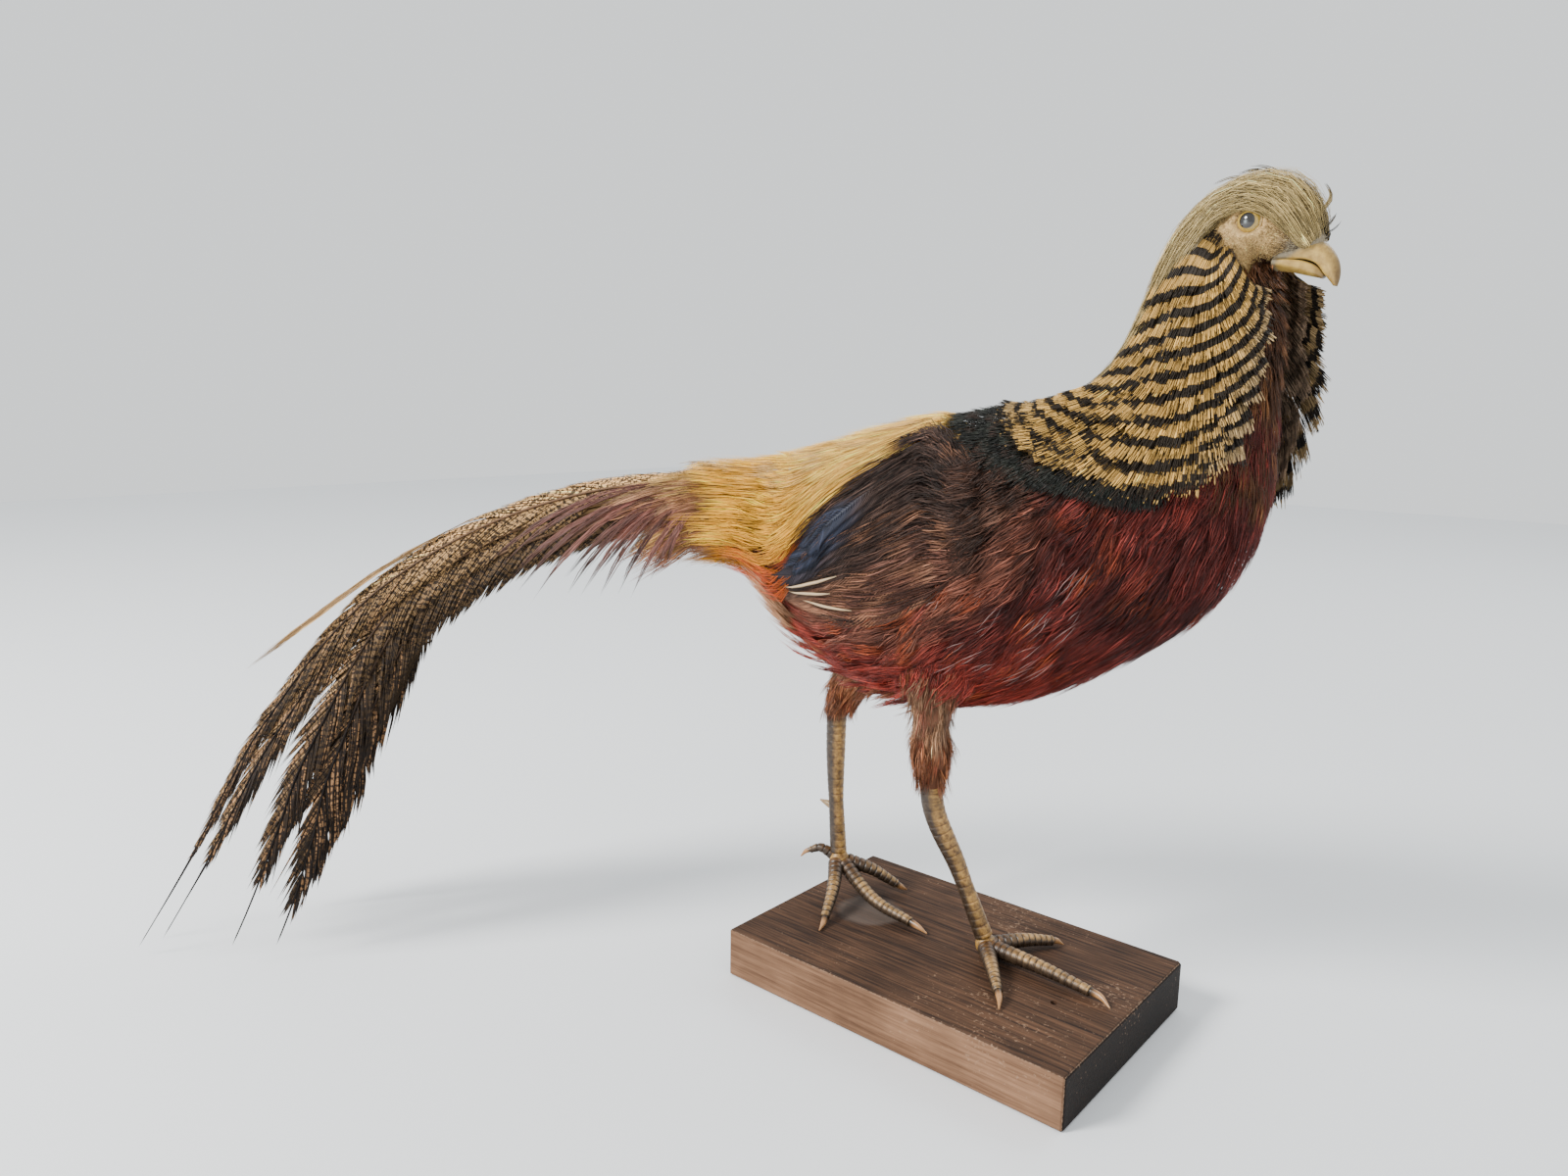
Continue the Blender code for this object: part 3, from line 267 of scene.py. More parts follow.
def barbs(path, half, count, width, colour, uv, start=0.4, end=(0.8, 1.0),
          spread=(0.15, 0.75, 1.0, 1.0), stations=4, lift=0.25, shape=(0.7, 1.0, 0.8), shade=0.22,
          lane=None, wild=0.06, tip=None, tipFrom=0.4, blunt=None):
    # each plume is a fan of fine barbs that leave its middle line one after another
    points, normals = path[:2]
    n = len(points)
    side = np.linspace(-1.0, 1.0, count)[None] + dice.normal(0, wild + 0.6 / count, (n, count))
    begin = dice.random((n, count)) * start
    finish = dice.uniform(end[0], end[1], (n, count))
    finish = np.maximum(finish, begin + 0.2)
    own = np.linspace(0.0, 1.0, stations)
    if blunt:
        own[-2] = blunt
    t = begin[..., None] + (finish - begin)[..., None] * own
    centre = alongLine(points, t)
    up = unit(alongLine(normals, t))
    ahead = unit(alongLine(np.gradient(points, axis=1), t))
    across = unit(np.cross(ahead, up))
    reach = np.interp(own, np.linspace(0, 1, len(spread)), spread)
    sideways = (side * np.broadcast_to(half, (n,))[:, None])[..., None] * reach
    rise = dice.normal(0.0, lift, (n, count, 1)) * own
    spots = centre + across * sideways[..., None] + up * rise[..., None]
    wide = width * np.interp(own, np.linspace(0, 1, len(shape)), shape)
    wide = np.broadcast_to(wide, (n, count, stations)) * dice.uniform(0.75, 1.25, (n, count, 1))
    colour = np.asarray(colour, float)[:, None, None]
    last = colour if tip is None else np.asarray(tip, float)[:, None, None]
    share = (ease(own, tipFrom, 1.0) * np.ones((n, count, 1)))[..., None]
    tone = colour * (1 - share) + last * share
    tone = tone * np.exp(dice.normal(0, shade, (n, count, 1, 1)))
    tone = tone * np.interp(own, (0.0, 0.5, 1.0), (0.62, 0.95, 1.12))[None, None, :, None]
    marks = np.zeros((n, count, stations, 3))
    if lane is not None:
        tractX, tractY, widen, reader, share = lane
        beside = alongLine(tractY[..., None], t)[..., 0] + sideways * widen
        marks[..., 0] = reader(alongLine(tractX[..., None], t)[..., 0], beside)
        marks[..., 1] = share
    batch = {"points": spots, "up": up, "wide": wide, "tint": tone, "marks": marks}
    batch = {key: a.reshape(n * count, *a.shape[2:]) for key, a in batch.items()}
    return {**batch, "uv": np.repeat(uv, count, 0), "ridge": 0.7}


def blades(path, wide, colour, uv, ridge, marks=0.0):
    # one strip along each line, in one colour or in one for each station
    points, normals = path
    n, count = points.shape[:2]
    colour = np.asarray(colour, float)
    if colour.ndim == 2:
        colour = colour[:, None]
    return {"points": points, "up": normals, "wide": np.broadcast_to(wide, (n, count)),
            "tint": np.broadcast_to(colour, (n, count, 3)),
            "marks": np.broadcast_to(marks, (n, count, 3)),
            "uv": np.broadcast_to(uv, (n, 2)), "ridge": ridge}


def plumageMesh(name, batches):
    # every strip is a three-sided blade, closed at its root and drawn into one tip
    spots, corners, starts, vaneUv, bakeUv, tints, marks = [], [], [], [], [], [], []
    base = loops = 0
    for b in batches:
        points, up, wide = b["points"], b["up"], b["wide"][..., None]
        n, count = points.shape[:2]
        ahead = unit(np.gradient(points, axis=1))
        across = unit(np.cross(ahead, up))
        over = unit(np.cross(across, ahead))
        ring = np.stack([points - across * wide, points + across * wide,
                         points + over * wide * b["ridge"]], 2)
        body = ring[:, :-1].reshape(n, -1, 3)
        spots.append(np.concatenate([body, points[:, -1:]], 1).reshape(-1, 3))
        per = 3 * (count - 1) + 1
        first = base + np.arange(n)[:, None, None] * per
        quads, tris = [], [(0, 1, 2)]
        for a in range(0, 3 * (count - 2), 3):
            c, e = a + 1, a + 2
            quads += [(c, c + 3, e + 3, e), (e, e + 3, a + 3, a), (a, a + 3, c + 3, c)]
        tip = per - 1
        a, c, e = tip - 3, tip - 2, tip - 1
        tris += [(c, tip, e), (e, tip, a), (a, tip, c)]
        for shape in (quads, tris):
            if shape:
                polys = (first + np.array(shape)[None]).reshape(-1, len(shape[0]))
                corners.append(polys.ravel())
                starts.append(loops + np.arange(len(polys)) * polys.shape[1])
                loops += polys.size
        own = np.linspace(0, 1, count)
        u = np.concatenate([np.tile([0.0, 1.0, 0.5], count - 1), [0.5]])
        v = np.concatenate([np.repeat(own[:-1], 3), [1.0]])
        vaneUv.append(np.tile(np.stack([u, v], 1), (n, 1)))
        patch = 0.003 * (np.stack([u, v], 1) - 0.5)
        bakeUv.append((b["uv"][:, None] + patch[None]).reshape(-1, 2))
        for store, values in ((tints, b["tint"]), (marks, b["marks"])):
            body = np.repeat(values[:, :-1], 3, 1)
            store.append(np.concatenate([body, values[:, -1:]], 1).reshape(-1, 3))
        base += n * per
    spots, corners, starts = (np.concatenate(parts) for parts in (spots, corners, starts))
    mesh = bpy.data.meshes.new(name)
    mesh.vertices.add(len(spots))
    mesh.vertices.foreach_set("co", (spots * mm).ravel())
    mesh.loops.add(len(corners))
    mesh.loops.foreach_set("vertex_index", corners)
    mesh.polygons.add(len(starts))
    mesh.polygons.foreach_set("loop_start", starts)
    mesh.update(calc_edges=True)
    mesh.polygons.foreach_set("use_smooth", np.ones(len(starts), bool))
    for label, data in (("vane", vaneUv), ("OFBake", bakeUv)):
        layer = mesh.uv_layers.new(name=label)
        layer.uv.foreach_set("vector", np.concatenate(data)[corners].ravel())
    paint(mesh, np.concatenate(tints))
    marked = mesh.attributes.new("marks", "FLOAT_VECTOR", "POINT")
    marked.data.foreach_set("vector", np.concatenate(marks).ravel())
    return mesh


def paint(mesh, tint):
    colour = np.concatenate([np.clip(tint, 0.0, 1.0), np.ones((len(tint), 1))], 1)
    mesh.attributes.new("tint", "FLOAT_COLOR", "POINT").data.foreach_set("color", colour.ravel())


def addPiece(name, mesh, material, hides):
    piece = bpy.data.objects.new(name, mesh)
    bpy.context.scene.collection.objects.link(piece)
    mesh.materials.append(material)
    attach(piece, "root")
    if hides:
        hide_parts(*hides)
    print(name, sum(len(p.vertices) - 2 for p in mesh.polygons), "triangles")


def addPlumage(name, batches, material, slot, *hides):
    addPiece(name, plumageMesh(name, batches), material, hides)


def newMaterial(name, roughness, specular=0.5):
    material = bpy.data.materials.new(name)
    material.use_nodes = True
    shader = material.node_tree.nodes["Principled BSDF"]
    shader.inputs["Roughness"].default_value = roughness
    shader.inputs["Specular IOR Level"].default_value = specular
    return material, material.node_tree, shader


def addNode(tree, kind, values=None, **settings):
    node = tree.nodes.new(kind)
    for key, value in settings.items():
        setattr(node, key, value)
    for key, value in (values or {}).items():
        node.inputs[key].default_value = value
    return node


def attributeNode(tree, name, output="Color"):
    return addNode(tree, "ShaderNodeAttribute", attribute_name=name).outputs[output]


def spotNode(tree):
    return addNode(tree, "ShaderNodeTexCoord").outputs["Object"]


def noiseNode(tree, source, scale, detail, **values):
    values = {"Scale": scale, "Detail": detail, **values}
    noise = addNode(tree, "ShaderNodeTexNoise", values)
    tree.links.new(source, noise.inputs["Vector"])
    return noise.outputs["Fac"]


def stretchNode(tree, source, scale):
    stretch = addNode(tree, "ShaderNodeMapping", {"Scale": scale})
    tree.links.new(source, stretch.inputs["Vector"])
    return stretch.outputs[0]


def partsNode(tree, source):
    parts = addNode(tree, "ShaderNodeSeparateXYZ")
    tree.links.new(source, parts.inputs[0])
    return parts.outputs


def grey(level):
    return (level, level, level)


def rampNode(tree, stops, source):
    ramp = tree.nodes.new("ShaderNodeValToRGB")
    bands = ramp.color_ramp.elements
    while len(bands) < len(stops):
        bands.new(0.5)
    for band, (place, colour) in zip(bands, stops):
        band.position = place
        band.color = (*colour, 1.0)
    tree.links.new(source, ramp.inputs["Fac"])
    return ramp.outputs["Color"]


def mixNode(tree, factor, first, second, blend="MIX"):
    mix = addNode(tree, "ShaderNodeMix", data_type="RGBA", blend_type=blend)
    for value, key in ((factor, 0), (first, 6), (second, 7)):
        if isinstance(value, (float, int)):
            mix.inputs[key].default_value = value
        elif isinstance(value, tuple):
            mix.inputs[key].default_value = (*value, 1.0)
        else:
            tree.links.new(value, mix.inputs[key])
    return mix.outputs[2]


def mathNode(tree, operation, *values):
    node = addNode(tree, "ShaderNodeMath", operation=operation)
    for key, value in enumerate(values):
        if isinstance(value, (float, int)):
            node.inputs[key].default_value = value
        else:
            tree.links.new(value, node.inputs[key])
    return node.outputs[0]


def bumpNode(tree, shader, height, strength, distance):
    bump = addNode(tree, "ShaderNodeBump", {"Strength": strength, "Distance": distance})
    tree.links.new(height, bump.inputs["Height"])
    tree.links.new(bump.outputs["Normal"], shader.inputs["Normal"])


def plumeMaterial(name, roughness, streaks=0.0, pattern=None, specular=0.4):
    # colour from the piece's own tint, fine barb lines across a blade, markings by its marks
    material, tree, shader = newMaterial(name, roughness, specular)
    colour = attributeNode(tree, "tint")
    if pattern:
        colour = pattern(tree, colour)
    if streaks:
        uv = addNode(tree, "ShaderNodeUVMap", uv_map="vane").outputs[0]
        shift = addNode(tree, "ShaderNodeVectorMath", {1: (40.0, 40.0, 40.0)},
                        operation="MULTIPLY_ADD")
        tree.links.new(stretchNode(tree, uv, (26.0, 3.0, 1.0)), shift.inputs[2])
        tree.links.new(spotNode(tree), shift.inputs[0])
        noise = noiseNode(tree, shift.outputs[0], 1.0, 3.0)
        lines = rampNode(tree, ((0.3, grey(1 - streaks)), (0.7, grey(1 + streaks))), noise)
        colour = mixNode(tree, 1.0, colour, lines, "MULTIPLY")
        bumpNode(tree, shader, noise, 0.5, 0.0003)
    tree.links.new(colour, shader.inputs["Base Color"])
    return material


def blendColours(first, second, share):
    share = np.asarray(share)[..., None]
    return np.asarray(first) * (1 - share) + np.asarray(second) * share


def varied(colour, spread, n, centre=0.0):
    # one colour for each of n plumes, lighter or darker by chance
    return np.asarray(colour) * np.exp(dice.normal(centre, spread, n))[:, None]


colours = {
    "crest": (0.40, 0.29, 0.115), "crestDark": (0.16, 0.115, 0.05),
    "face": (0.62, 0.415, 0.17), "faceGrey": (0.30, 0.265, 0.19), "throat": (0.076, 0.029, 0.011),
    "capeGold": (0.43, 0.255, 0.066), "capeGrey": (0.24, 0.175, 0.10),
    "capeBlack": (0.010, 0.0075, 0.006), "capeInner": (0.30, 0.205, 0.135),
    "mantle": (0.009, 0.010, 0.0075), "shoulder": (0.042, 0.019, 0.012),
    "back": (0.88, 0.51, 0.115), "rump": (0.77, 0.37, 0.026), "straw": (0.58, 0.38, 0.17),
    "rumpRed": (0.36, 0.025, 0.009), "rumpFringe": (0.60, 0.13, 0.018),
    "wing": (0.034, 0.019, 0.014), "wingBlue": (0.014, 0.017, 0.030),
    "wingLow": (0.22, 0.10, 0.055), "wingShaft": (0.58, 0.42, 0.25),
    "flank": (0.15, 0.052, 0.032), "breast": (0.050, 0.0075, 0.0055),
    "belly": (0.225, 0.028, 0.018), "orange": (0.31, 0.058, 0.018), "pink": (0.27, 0.045, 0.034),
    "glint": (0.42, 0.29, 0.27), "throatRust": (0.24, 0.10, 0.035),
    "vent": (0.33, 0.165, 0.085), "thigh": (0.24, 0.085, 0.035), "downy": (0.25, 0.135, 0.072),
    "tail": (0.74, 0.44, 0.19), "tailDark": (0.036, 0.022, 0.014), "tailRust": (0.42, 0.22, 0.10),
    "scrawl": (0.016, 0.011, 0.009), "quill": (0.16, 0.09, 0.05), "quillEnd": (0.012, 0.009, 0.008),
    "covertRed": (0.34, 0.11, 0.085), "spike": (0.23, 0.09, 0.068),
    "spikeTip": (0.014, 0.011, 0.009),
}

# angles from the back at places along the spine
coatLimits = {
    "top": ((-100, 60), (-80, 96), (-58, 104), (-27, 100), (0, 96), (20, 86), (44, 70), (58, 30),
            (75, 30), (95, 70), (110, 96), (122, 118), (130, 134)),
    "flank": ((-60, 116), (-27, 120), (0, 116), (20, 108), (50, 100), (80, 88), (100, 70)),
    "shoulder": ((30, 92), (52, 88), (70, 80), (85, 72), (98, 66), (112, 50)),
    "vent": ((-100, 110), (-80, 118), (-62, 136), (-48, 158), (-40, 180)),
    "throat": ((112, 118), (122, 112), (127, 116), (130, 118), (132, 120), (137, 132), (145, 148),
               (160, 152)),
}


def limitAt(q, name):
    at = np.array(coatLimits[name])
    return np.radians(np.interp(sOf(q), at[:, 0], at[:, 1]))


def shoulderShare(q, turn):
    # dark feathers between the mantle and the wing
    edge = limitAt(q, "shoulder")
    return ease(turn, edge + 0.10, edge - 0.08) * ease(sOf(q), 34, 44)


def coatColour(q, angle):
    # breast, belly, flank and vent, and what lies between them
    turn = np.abs(angle)
    s = sOf(q)
    flank = ease(turn, limitAt(q, "flank") + 0.22, limitAt(q, "flank") - 0.08)
    low = ease(turn, 1.75, 2.5) * ease(s, 100, 50)
    colour = blendColours(colours["breast"], colours["belly"], low)
    colour = blendColours(colour, colours["flank"], flank * ease(s, 105, 70))
    vent = ease(turn, limitAt(q, "vent") - 0.15, limitAt(q, "vent") + 0.15)
    colour = blendColours(colour, colours["vent"], vent * ease(s, -34, -50))
    colour = blendColours(colour, colours["orange"], 0.05 * ease(s, -20, -55) * (1 - vent))
    # painted light: the front of the breast, low on the body, is lightened where the light falls on
    # it
    colour = colour * (1 + 1.1 * ease(s, 98, 112) * ease(turn, 1.5, 2.2))[..., None]
    return blendColours(colour, colours["shoulder"], shoulderShare(q, turn))


def tuftNoise(q, angle, scale):
    slow = np.sin(q * 0.19 * scale + 2.3 * np.sin(angle * 4.1))
    return (slow * np.sin(angle * 8.3 * scale + q * 0.043)
            + 0.5 * np.sin(q * 0.41 * scale + angle * 13.0 + 1.7))


def featherGrid(qFrom, qTo, step, low, high, gap):
    # staggered roots over the body between two angle limits
    rows = []
    for k, q in enumerate(np.arange(qFrom, qTo, step)):
        first, last = low(q), high(q)
        count = max(0, int((last - first) * girth(q) / gap))
        if count:
            angle = first + (last - first) * (np.arange(count) + 0.25 + 0.5 * (k % 2)) / count
            rows.append(np.stack([np.full(count, q), angle], 1))
    roots = np.concatenate(rows)
    roots[:, 0] += dice.normal(0, step * 0.22, len(roots))
    roots[:, 1] += dice.normal(0, gap * 0.18, len(roots)) / girth(roots[:, 0])
    return roots


def tractGrid(rows, across):
    # row and column number of every root in a tract
    return np.repeat(np.arange(rows), across), np.tile(np.arange(across), rows)


def rising(count, low, high, power=0.7, jitter=0.25, stations=7):
    u = np.linspace(0, 1, stations)[None] ** power
    top = high * (1 + dice.normal(0, jitter, (count, 1)))
    return low + (top - low) * u


coat = {
    "from": 14.0, "to": 262.0, "step": 5.4, "gap": 5.6, "length": 26.0, "half": 4.4, "barbs": 19,
    "width": 0.2, "lift": 2.6, "spread": (0.35, 0.95, 1.0, 0.55),
    "droop": 0.42, "clumps": 0.16, "loose": 0.09,
    "glints": 26, "glintAlong": (10, 88), "glintAngle": (98, 142), "glintLong": (8, 20),
    "locks": 70, "lockAlong": (-62, 12), "lockLong": (18, 34), "lockLift": 9.0,
}
coatMaterial = plumeMaterial("coat", 0.45, specular=0.28)
for side, label in ((1, "right"), (-1, "left")):
    roots = featherGrid(coat["from"], coat["to"], coat["step"], lambda q: limitAt(q, "top"),
                        lambda q: math.pi + 0.03, coat["gap"])
    q, angle = roots[:, 0], roots[:, 1]
    n = len(roots)
    s = sOf(q)
    clump = tuftNoise(q, angle * side, 0.55)
    droop = coat["droop"] * np.sin(angle) * ease(s, 125, 70) + coat["clumps"] * clump
    droop = droop + dice.normal(0, coat["loose"], n)
    long = coat["length"] * (0.72 + 0.28 * ease(s, 128, 85)) * dice.uniform(0.8, 1.2, n)
    # fluffed up over the front of the wing
    shoulder = ease(s, 46, 58) * ease(s, 92, 72) * ease(angle, 1.95, 1.6) * ease(angle, 0.75, 1.05)
    lifts = rising(n, -1.5, coat["lift"]) * (1 + 1.7 * shoulder)[:, None]
    path = bodyPath(q, side * angle, droop, long, lifts, 0.25 * clump)
    tone = varied(coatColour(q, angle), 0.22, n, 0.32 * tuftNoise(q, angle * side, 1.3))
    pick = dice.random(n)
    plain = 1 - shoulderShare(q, angle)
    orange = 0.75 * (pick < 0.12 + 0.12 * clump) * ease(s, 112, 80) * plain
    tone = blendColours(tone, colours["orange"], orange)
    tone = blendColours(tone, colours["pink"], 0.6 * ((pick > 0.93) & (s < 105)) * plain)
    batch = barbs(path, coat["half"], coat["barbs"], coat["width"], tone,
                  bodyUv((q, side * angle)), start=0.45, end=(0.7, 1.0), spread=coat["spread"],
                  lift=0.55, stations=3, shape=(0.8, 1.0, 0.6), shade=0.5)
    # painted highlights: pale strands that stand for light caught on the breast
    n = coat["glints"]
    q = qOf(dice.uniform(*coat["glintAlong"], n))
    angle = np.radians(dice.uniform(*coat["glintAngle"], n))
    heading = coat["droop"] * np.sin(angle) + dice.normal(0, 0.1, n)
    long = dice.uniform(*coat["glintLong"], n)
    path = bodyPath(q, side * angle, heading, long, rising(n, 2.0, coat["lift"] + 0.7))
    tone = np.full((n, 3), colours["glint"])
    glints = barbs(path, 1.6, 2, 0.09, tone, bodyUv((q, side * angle)), lift=0.2, stations=3)
    # loose locks under the belly
    n = coat["locks"]
    q = qOf(dice.uniform(*coat["lockAlong"], n))
    angle = math.pi - dice.uniform(0.0, 0.75, n) ** 1.3
    heading = 0.3 * clump[:n] + dice.normal(0, 0.3, n)
    long = dice.uniform(*coat["lockLong"], n)
    path = bodyPath(q, side * angle, heading, long, rising(n, -1.0, coat["lockLift"], 1.1, 0.5))
    tone = varied(coatColour(q, angle), 0.3, n)
    tone = blendColours(tone, colours["thigh"], 0.8 * (dice.random(n) < 0.3))
    locks = barbs(path, 2.4, 15, 0.17, tone, bodyUv((q, side * angle)), start=0.5,
                  end=(0.6, 1.0), spread=(0.8, 1.0, 0.7, 0.2), lift=0.5, shade=0.45,
                  shape=(0.9, 1.0, 0.5))
    addPlumage("coat_" + label, [batch, glints, locks], coatMaterial, "torso")

throat = {"from": 232.0, "to": 331.0, "step": 4.2, "gap": 4.0, "length": 13.0, "half": 3.0,
          "barbs": 9, "width": 0.26, "lift": 2.2}
roots = featherGrid(throat["from"], throat["to"], throat["step"], lambda q: 0.0,
                    lambda q: 2 * (math.pi - limitAt(q, "throat")), throat["gap"])
q = roots[:, 0]
angle = limitAt(q, "throat") + roots[:, 1]
angle = np.where(angle > math.pi, angle - 2 * math.pi, angle)
n = len(q)
long = throat["length"] * (0.35 + 0.65 * ease(sOf(q), 158, 134)) * dice.uniform(0.8, 1.2, n)
heading = dice.normal(0, 0.16, n)
lifts = rising(n, -0.8, throat["lift"]) * (1 + 1.4 * ease(sOf(q), 126, 134))[:, None]
path = bodyPath(q, angle, heading, long, lifts)
tone = varied(colours["throat"], 0.35, n)
tone = blendColours(tone, colours["throatRust"], 0.8 * (dice.random(n) < 0.22))
batch = barbs(path, throat["half"], throat["barbs"], throat["width"], tone, bodyUv((q, angle)),
              lift=0.5, stations=3)
addPlumage("coat_throat", [batch], coatMaterial, "neck")


def capeBars(tree, colour):
    # black arcs round the cheek, counted along the tract and broken at every barb
    parts = partsNode(tree, attributeNode(tree, "marks", "Vector"))
    noise = noiseNode(tree, spotNode(tree), 75.0, 2.0)
    wander = mathNode(tree, "MULTIPLY", mathNode(tree, "SUBTRACT", noise, 0.5), cape["wander"])
    lane = mathNode(tree, "POWER", mathNode(tree, "ADD", parts[0], 0.06), cape["crowding"])
    wave = mathNode(tree, "FRACT", mathNode(tree, "MULTIPLY_ADD", lane, cape["bars"], wander))
    stops = ((0.0, 0.0), (0.03, 1.0), (cape["barShare"], 1.0), (cape["barShare"] + 0.04, 0.0))
    bar = rampNode(tree, [(place, grey(level)) for place, level in stops], wave)
    return mixNode(tree, mathNode(tree, "MULTIPLY", bar, parts[1]), colour, colours["capeBlack"])


def capeLane(x, y):
    # distance from the cheek, in tract lengths
    front = np.maximum(y - cape["centre"], 0.0) * cape["round"] / cape["long"]
    return np.hypot(np.maximum(x + 0.06, 0.0), front) - 0.06


cape = {
    "rows": 15, "across": 22, "extra": 90, "barbs": 19, "width": 0.265, "half": 4.4,
    "lift": 6.0, "edgeLift": 2.5, "centre": 0.54, "long": 110.0, "round": 90.0, "reach": 0.22,
    "girth": 36.0, "innerFrom": 0.62, "innerLift": 1.5, "blunt": 0.93,
    "bars": 12.2, "crowding": 0.75, "wander": 0.28, "barShare": 0.47, "black": 0.98,
    "innerBlack": 0.42,
}
capeMaterial = plumeMaterial("cape", 0.55, pattern=capeBars, specular=0.2)
for side, label in ((1, "right"), (-1, "left")):
    drop, stands = bird["ruff"][label]
    spot = capeSpot(side, drop)

    def stand(x, y):
        return np.interp(x, bird["ruffAt"], stands) * ease(y, 0.5, 1.0)

    batches = []
    for inner in (False, True):
        row, column = tractGrid(cape["rows"], cape["across"])
        x = row / cape["rows"] * 1.04 - 0.09
        y = (column + 0.5 + 0.5 * (row % 2 - 0.5)) / cape["across"]
        if inner:
            x, y = x[y > cape["innerFrom"]], y[y > cape["innerFrom"]]
        elif side < 0:  # more of them where this ruff stands away from the throat
            x = np.append(x, dice.uniform(-0.05, 0.92, cape["extra"]))
            y = np.append(y, dice.uniform(cape["innerFrom"], 0.99, cape["extra"]))
        n = len(x)
        x = np.clip(x + dice.normal(0, 0.03, n) - 0.09, -0.085, 0.76)
        x = np.where((y > 0.75) & (side < 0), (x + 0.085) * 1.22 - 0.2, x)
        beside = np.maximum(y - cape["centre"], 0) * cape["round"]
        way = np.minimum(np.arctan2(beside, (x + 0.12) * cape["long"]), 1.15)
        way = way + dice.normal(0, 0.035, n)
        reach = cape["reach"] * (0.86 if inner else 1.0) + dice.normal(0, 0.004, n)
        edge = ease(y, 0.72, 1.0)
        lifts = rising(n, -1.2 if inner else 0.0, cape["innerLift" if inner else "lift"], 0.8, 0.05)
        if not inner:
            lifts = lifts + cape["edgeLift"] * edge[:, None] * np.linspace(0, 1, 7) ** 1.6
        over = reach * np.sin(way) * cape["long"] / cape["round"]
        path = tractPath(spot, (x, y), (x + reach * np.cos(way), y + over), lifts, stand)
        size = girth(path[2][0]) / cape["girth"]
        dull = np.clip(0.8 * edge + 0.6 * ease(x, 0.35, 0.8) * ease(y, 0.35, 0.05), 0, 1)
        tone = blendColours(colours["capeGold"], colours["capeGrey"], dull)
        tone = varied(colours["capeInner"] if inner else tone, 0.08, n)
        black = cape["innerBlack" if inner else "black"]
        lane = (path[3], path[4], -side / cape["round"], capeLane, black)
        batches.append(barbs(path, cape["half"] * size, cape["barbs"], cape["width"], tone,
                             bodyUv(path[2]), start=0.35, end=(0.72, 1.0), lift=0.3,
                             spread=(0.75, 1.0, 1.04, 1.1), shape=(0.8, 1.0, 0.9), shade=0.32,
                             blunt=cape["blunt"], lane=lane, wild=0.05))
    addPlumage("cape_plumes_" + label, batches, capeMaterial, "cape_" + label, "cape_" + label)

crest = {
    "count": 1500, "barbs": 5, "half": 1.1, "width": 0.155, "clear": 8.2, "from": -0.03,
    "to": 0.63, "reach": (0.22, 0.5),
    "brow": 620, "browBarbs": 6, "browClear": 3.4, "browFrom": -0.04, "browTo": 0.34,
    "browSide": 0.45, "browReach": (0.10, 0.26),
    "strayTip": (0.02, 0.014, 0.009), "strayDark": (0.016, 0.012, 0.008),
    # stray tips as (along, side, height) points with their strands and darkness
    "strays": (
        (((163.0, -0.5, 361.5), (167.6, -0.5, 366.0), (169.4, 0.0, 369.0), (168.6, 0.4, 372.2),
          (166.0, 0.8, 376.0)), 7, 0.25),
        (((167.0, -1.0, 357.6), (169.0, -1.0, 359.0), (170.6, -0.8, 360.8), (172.5, -0.5, 364.0)),
         3, 0.95),
        (((167.5, 0.8, 356.2), (170.2, 0.8, 357.2), (172.2, 0.8, 358.8), (174.0, 0.8, 361.8)),
         2, 0.95),
        (((168.0, -0.4, 354.2), (169.6, -0.5, 355.0), (170.3, -0.5, 356.2), (170.6, -0.5, 357.6)),
         3, 0.95),
        (((147.0, 1.5, 380.5), (142.0, 1.5, 383.0), (137.0, 1.5, 383.2), (131.5, 1.8, 382.4)),
         4, 0.8),
        (((149.5, -0.5, 380.8), (146.0, -0.8, 382.8), (142.0, -1.0, 384.2), (137.5, -1.0, 385.0)),
         3, 0.8),
        (((139.0, -2.0, 379.0), (133.0, -2.2, 380.6), (128.0, -2.5, 379.6), (123.0, -3.0, 377.2)),
         3, 0.6),
    ),
}
crestMaterial = plumeMaterial("crest", 0.36)


def crestStrands(n, low, high, strands, clear, reaches, share=None):
    # fine hair swept back over the crown; share keeps it off the middle
    x = low + (high - low) * dice.random(n) ** 1.2
    y = dice.uniform(-1, 1, n)
    if share is not None:
        y = np.sign(y) * (share + (1 - share) * np.abs(y))
    reach = np.minimum(dice.uniform(*reaches, n) + 0.18 * np.maximum(x, 0), 1.03 - x)
    u = np.linspace(0, 1, 8)[None]
    top = clear * (0.35 + 0.65 * dice.random(n)) * (1 - 0.62 * np.abs(y) ** 2)
    run = x[:, None] + reach[:, None] * u
    arch = np.interp(run, (-0.03, 0.05, 0.13, 0.5), (0.35, 0.8, 1.0, 0.85))
    lifts = 0.35 + top[:, None] * np.sin(u * math.pi * 0.72) ** 0.8 * arch
    path = tractPath(crestSpot, (x, y), (x + reach, y * dice.uniform(0.88, 0.98, n)), lifts)
    tone = varied(colours["crest"], 0.3, n, -0.06)
    dark = 0.5 * ease(x + reach, 0.55, 1.0) + 0.25 * (dice.random(n) < 0.2)
    tone = blendColours(tone, colours["crestDark"], dark)
    return barbs(path, crest["half"], strands, crest["width"], tone, bodyUv(path[2]), start=0.25,
                 end=(0.7, 1.0), spread=(0.5, 1.0, 1.1, 0.5), stations=5, lift=0.45,
                 shape=(0.8, 1.0, 0.8), shade=0.38)


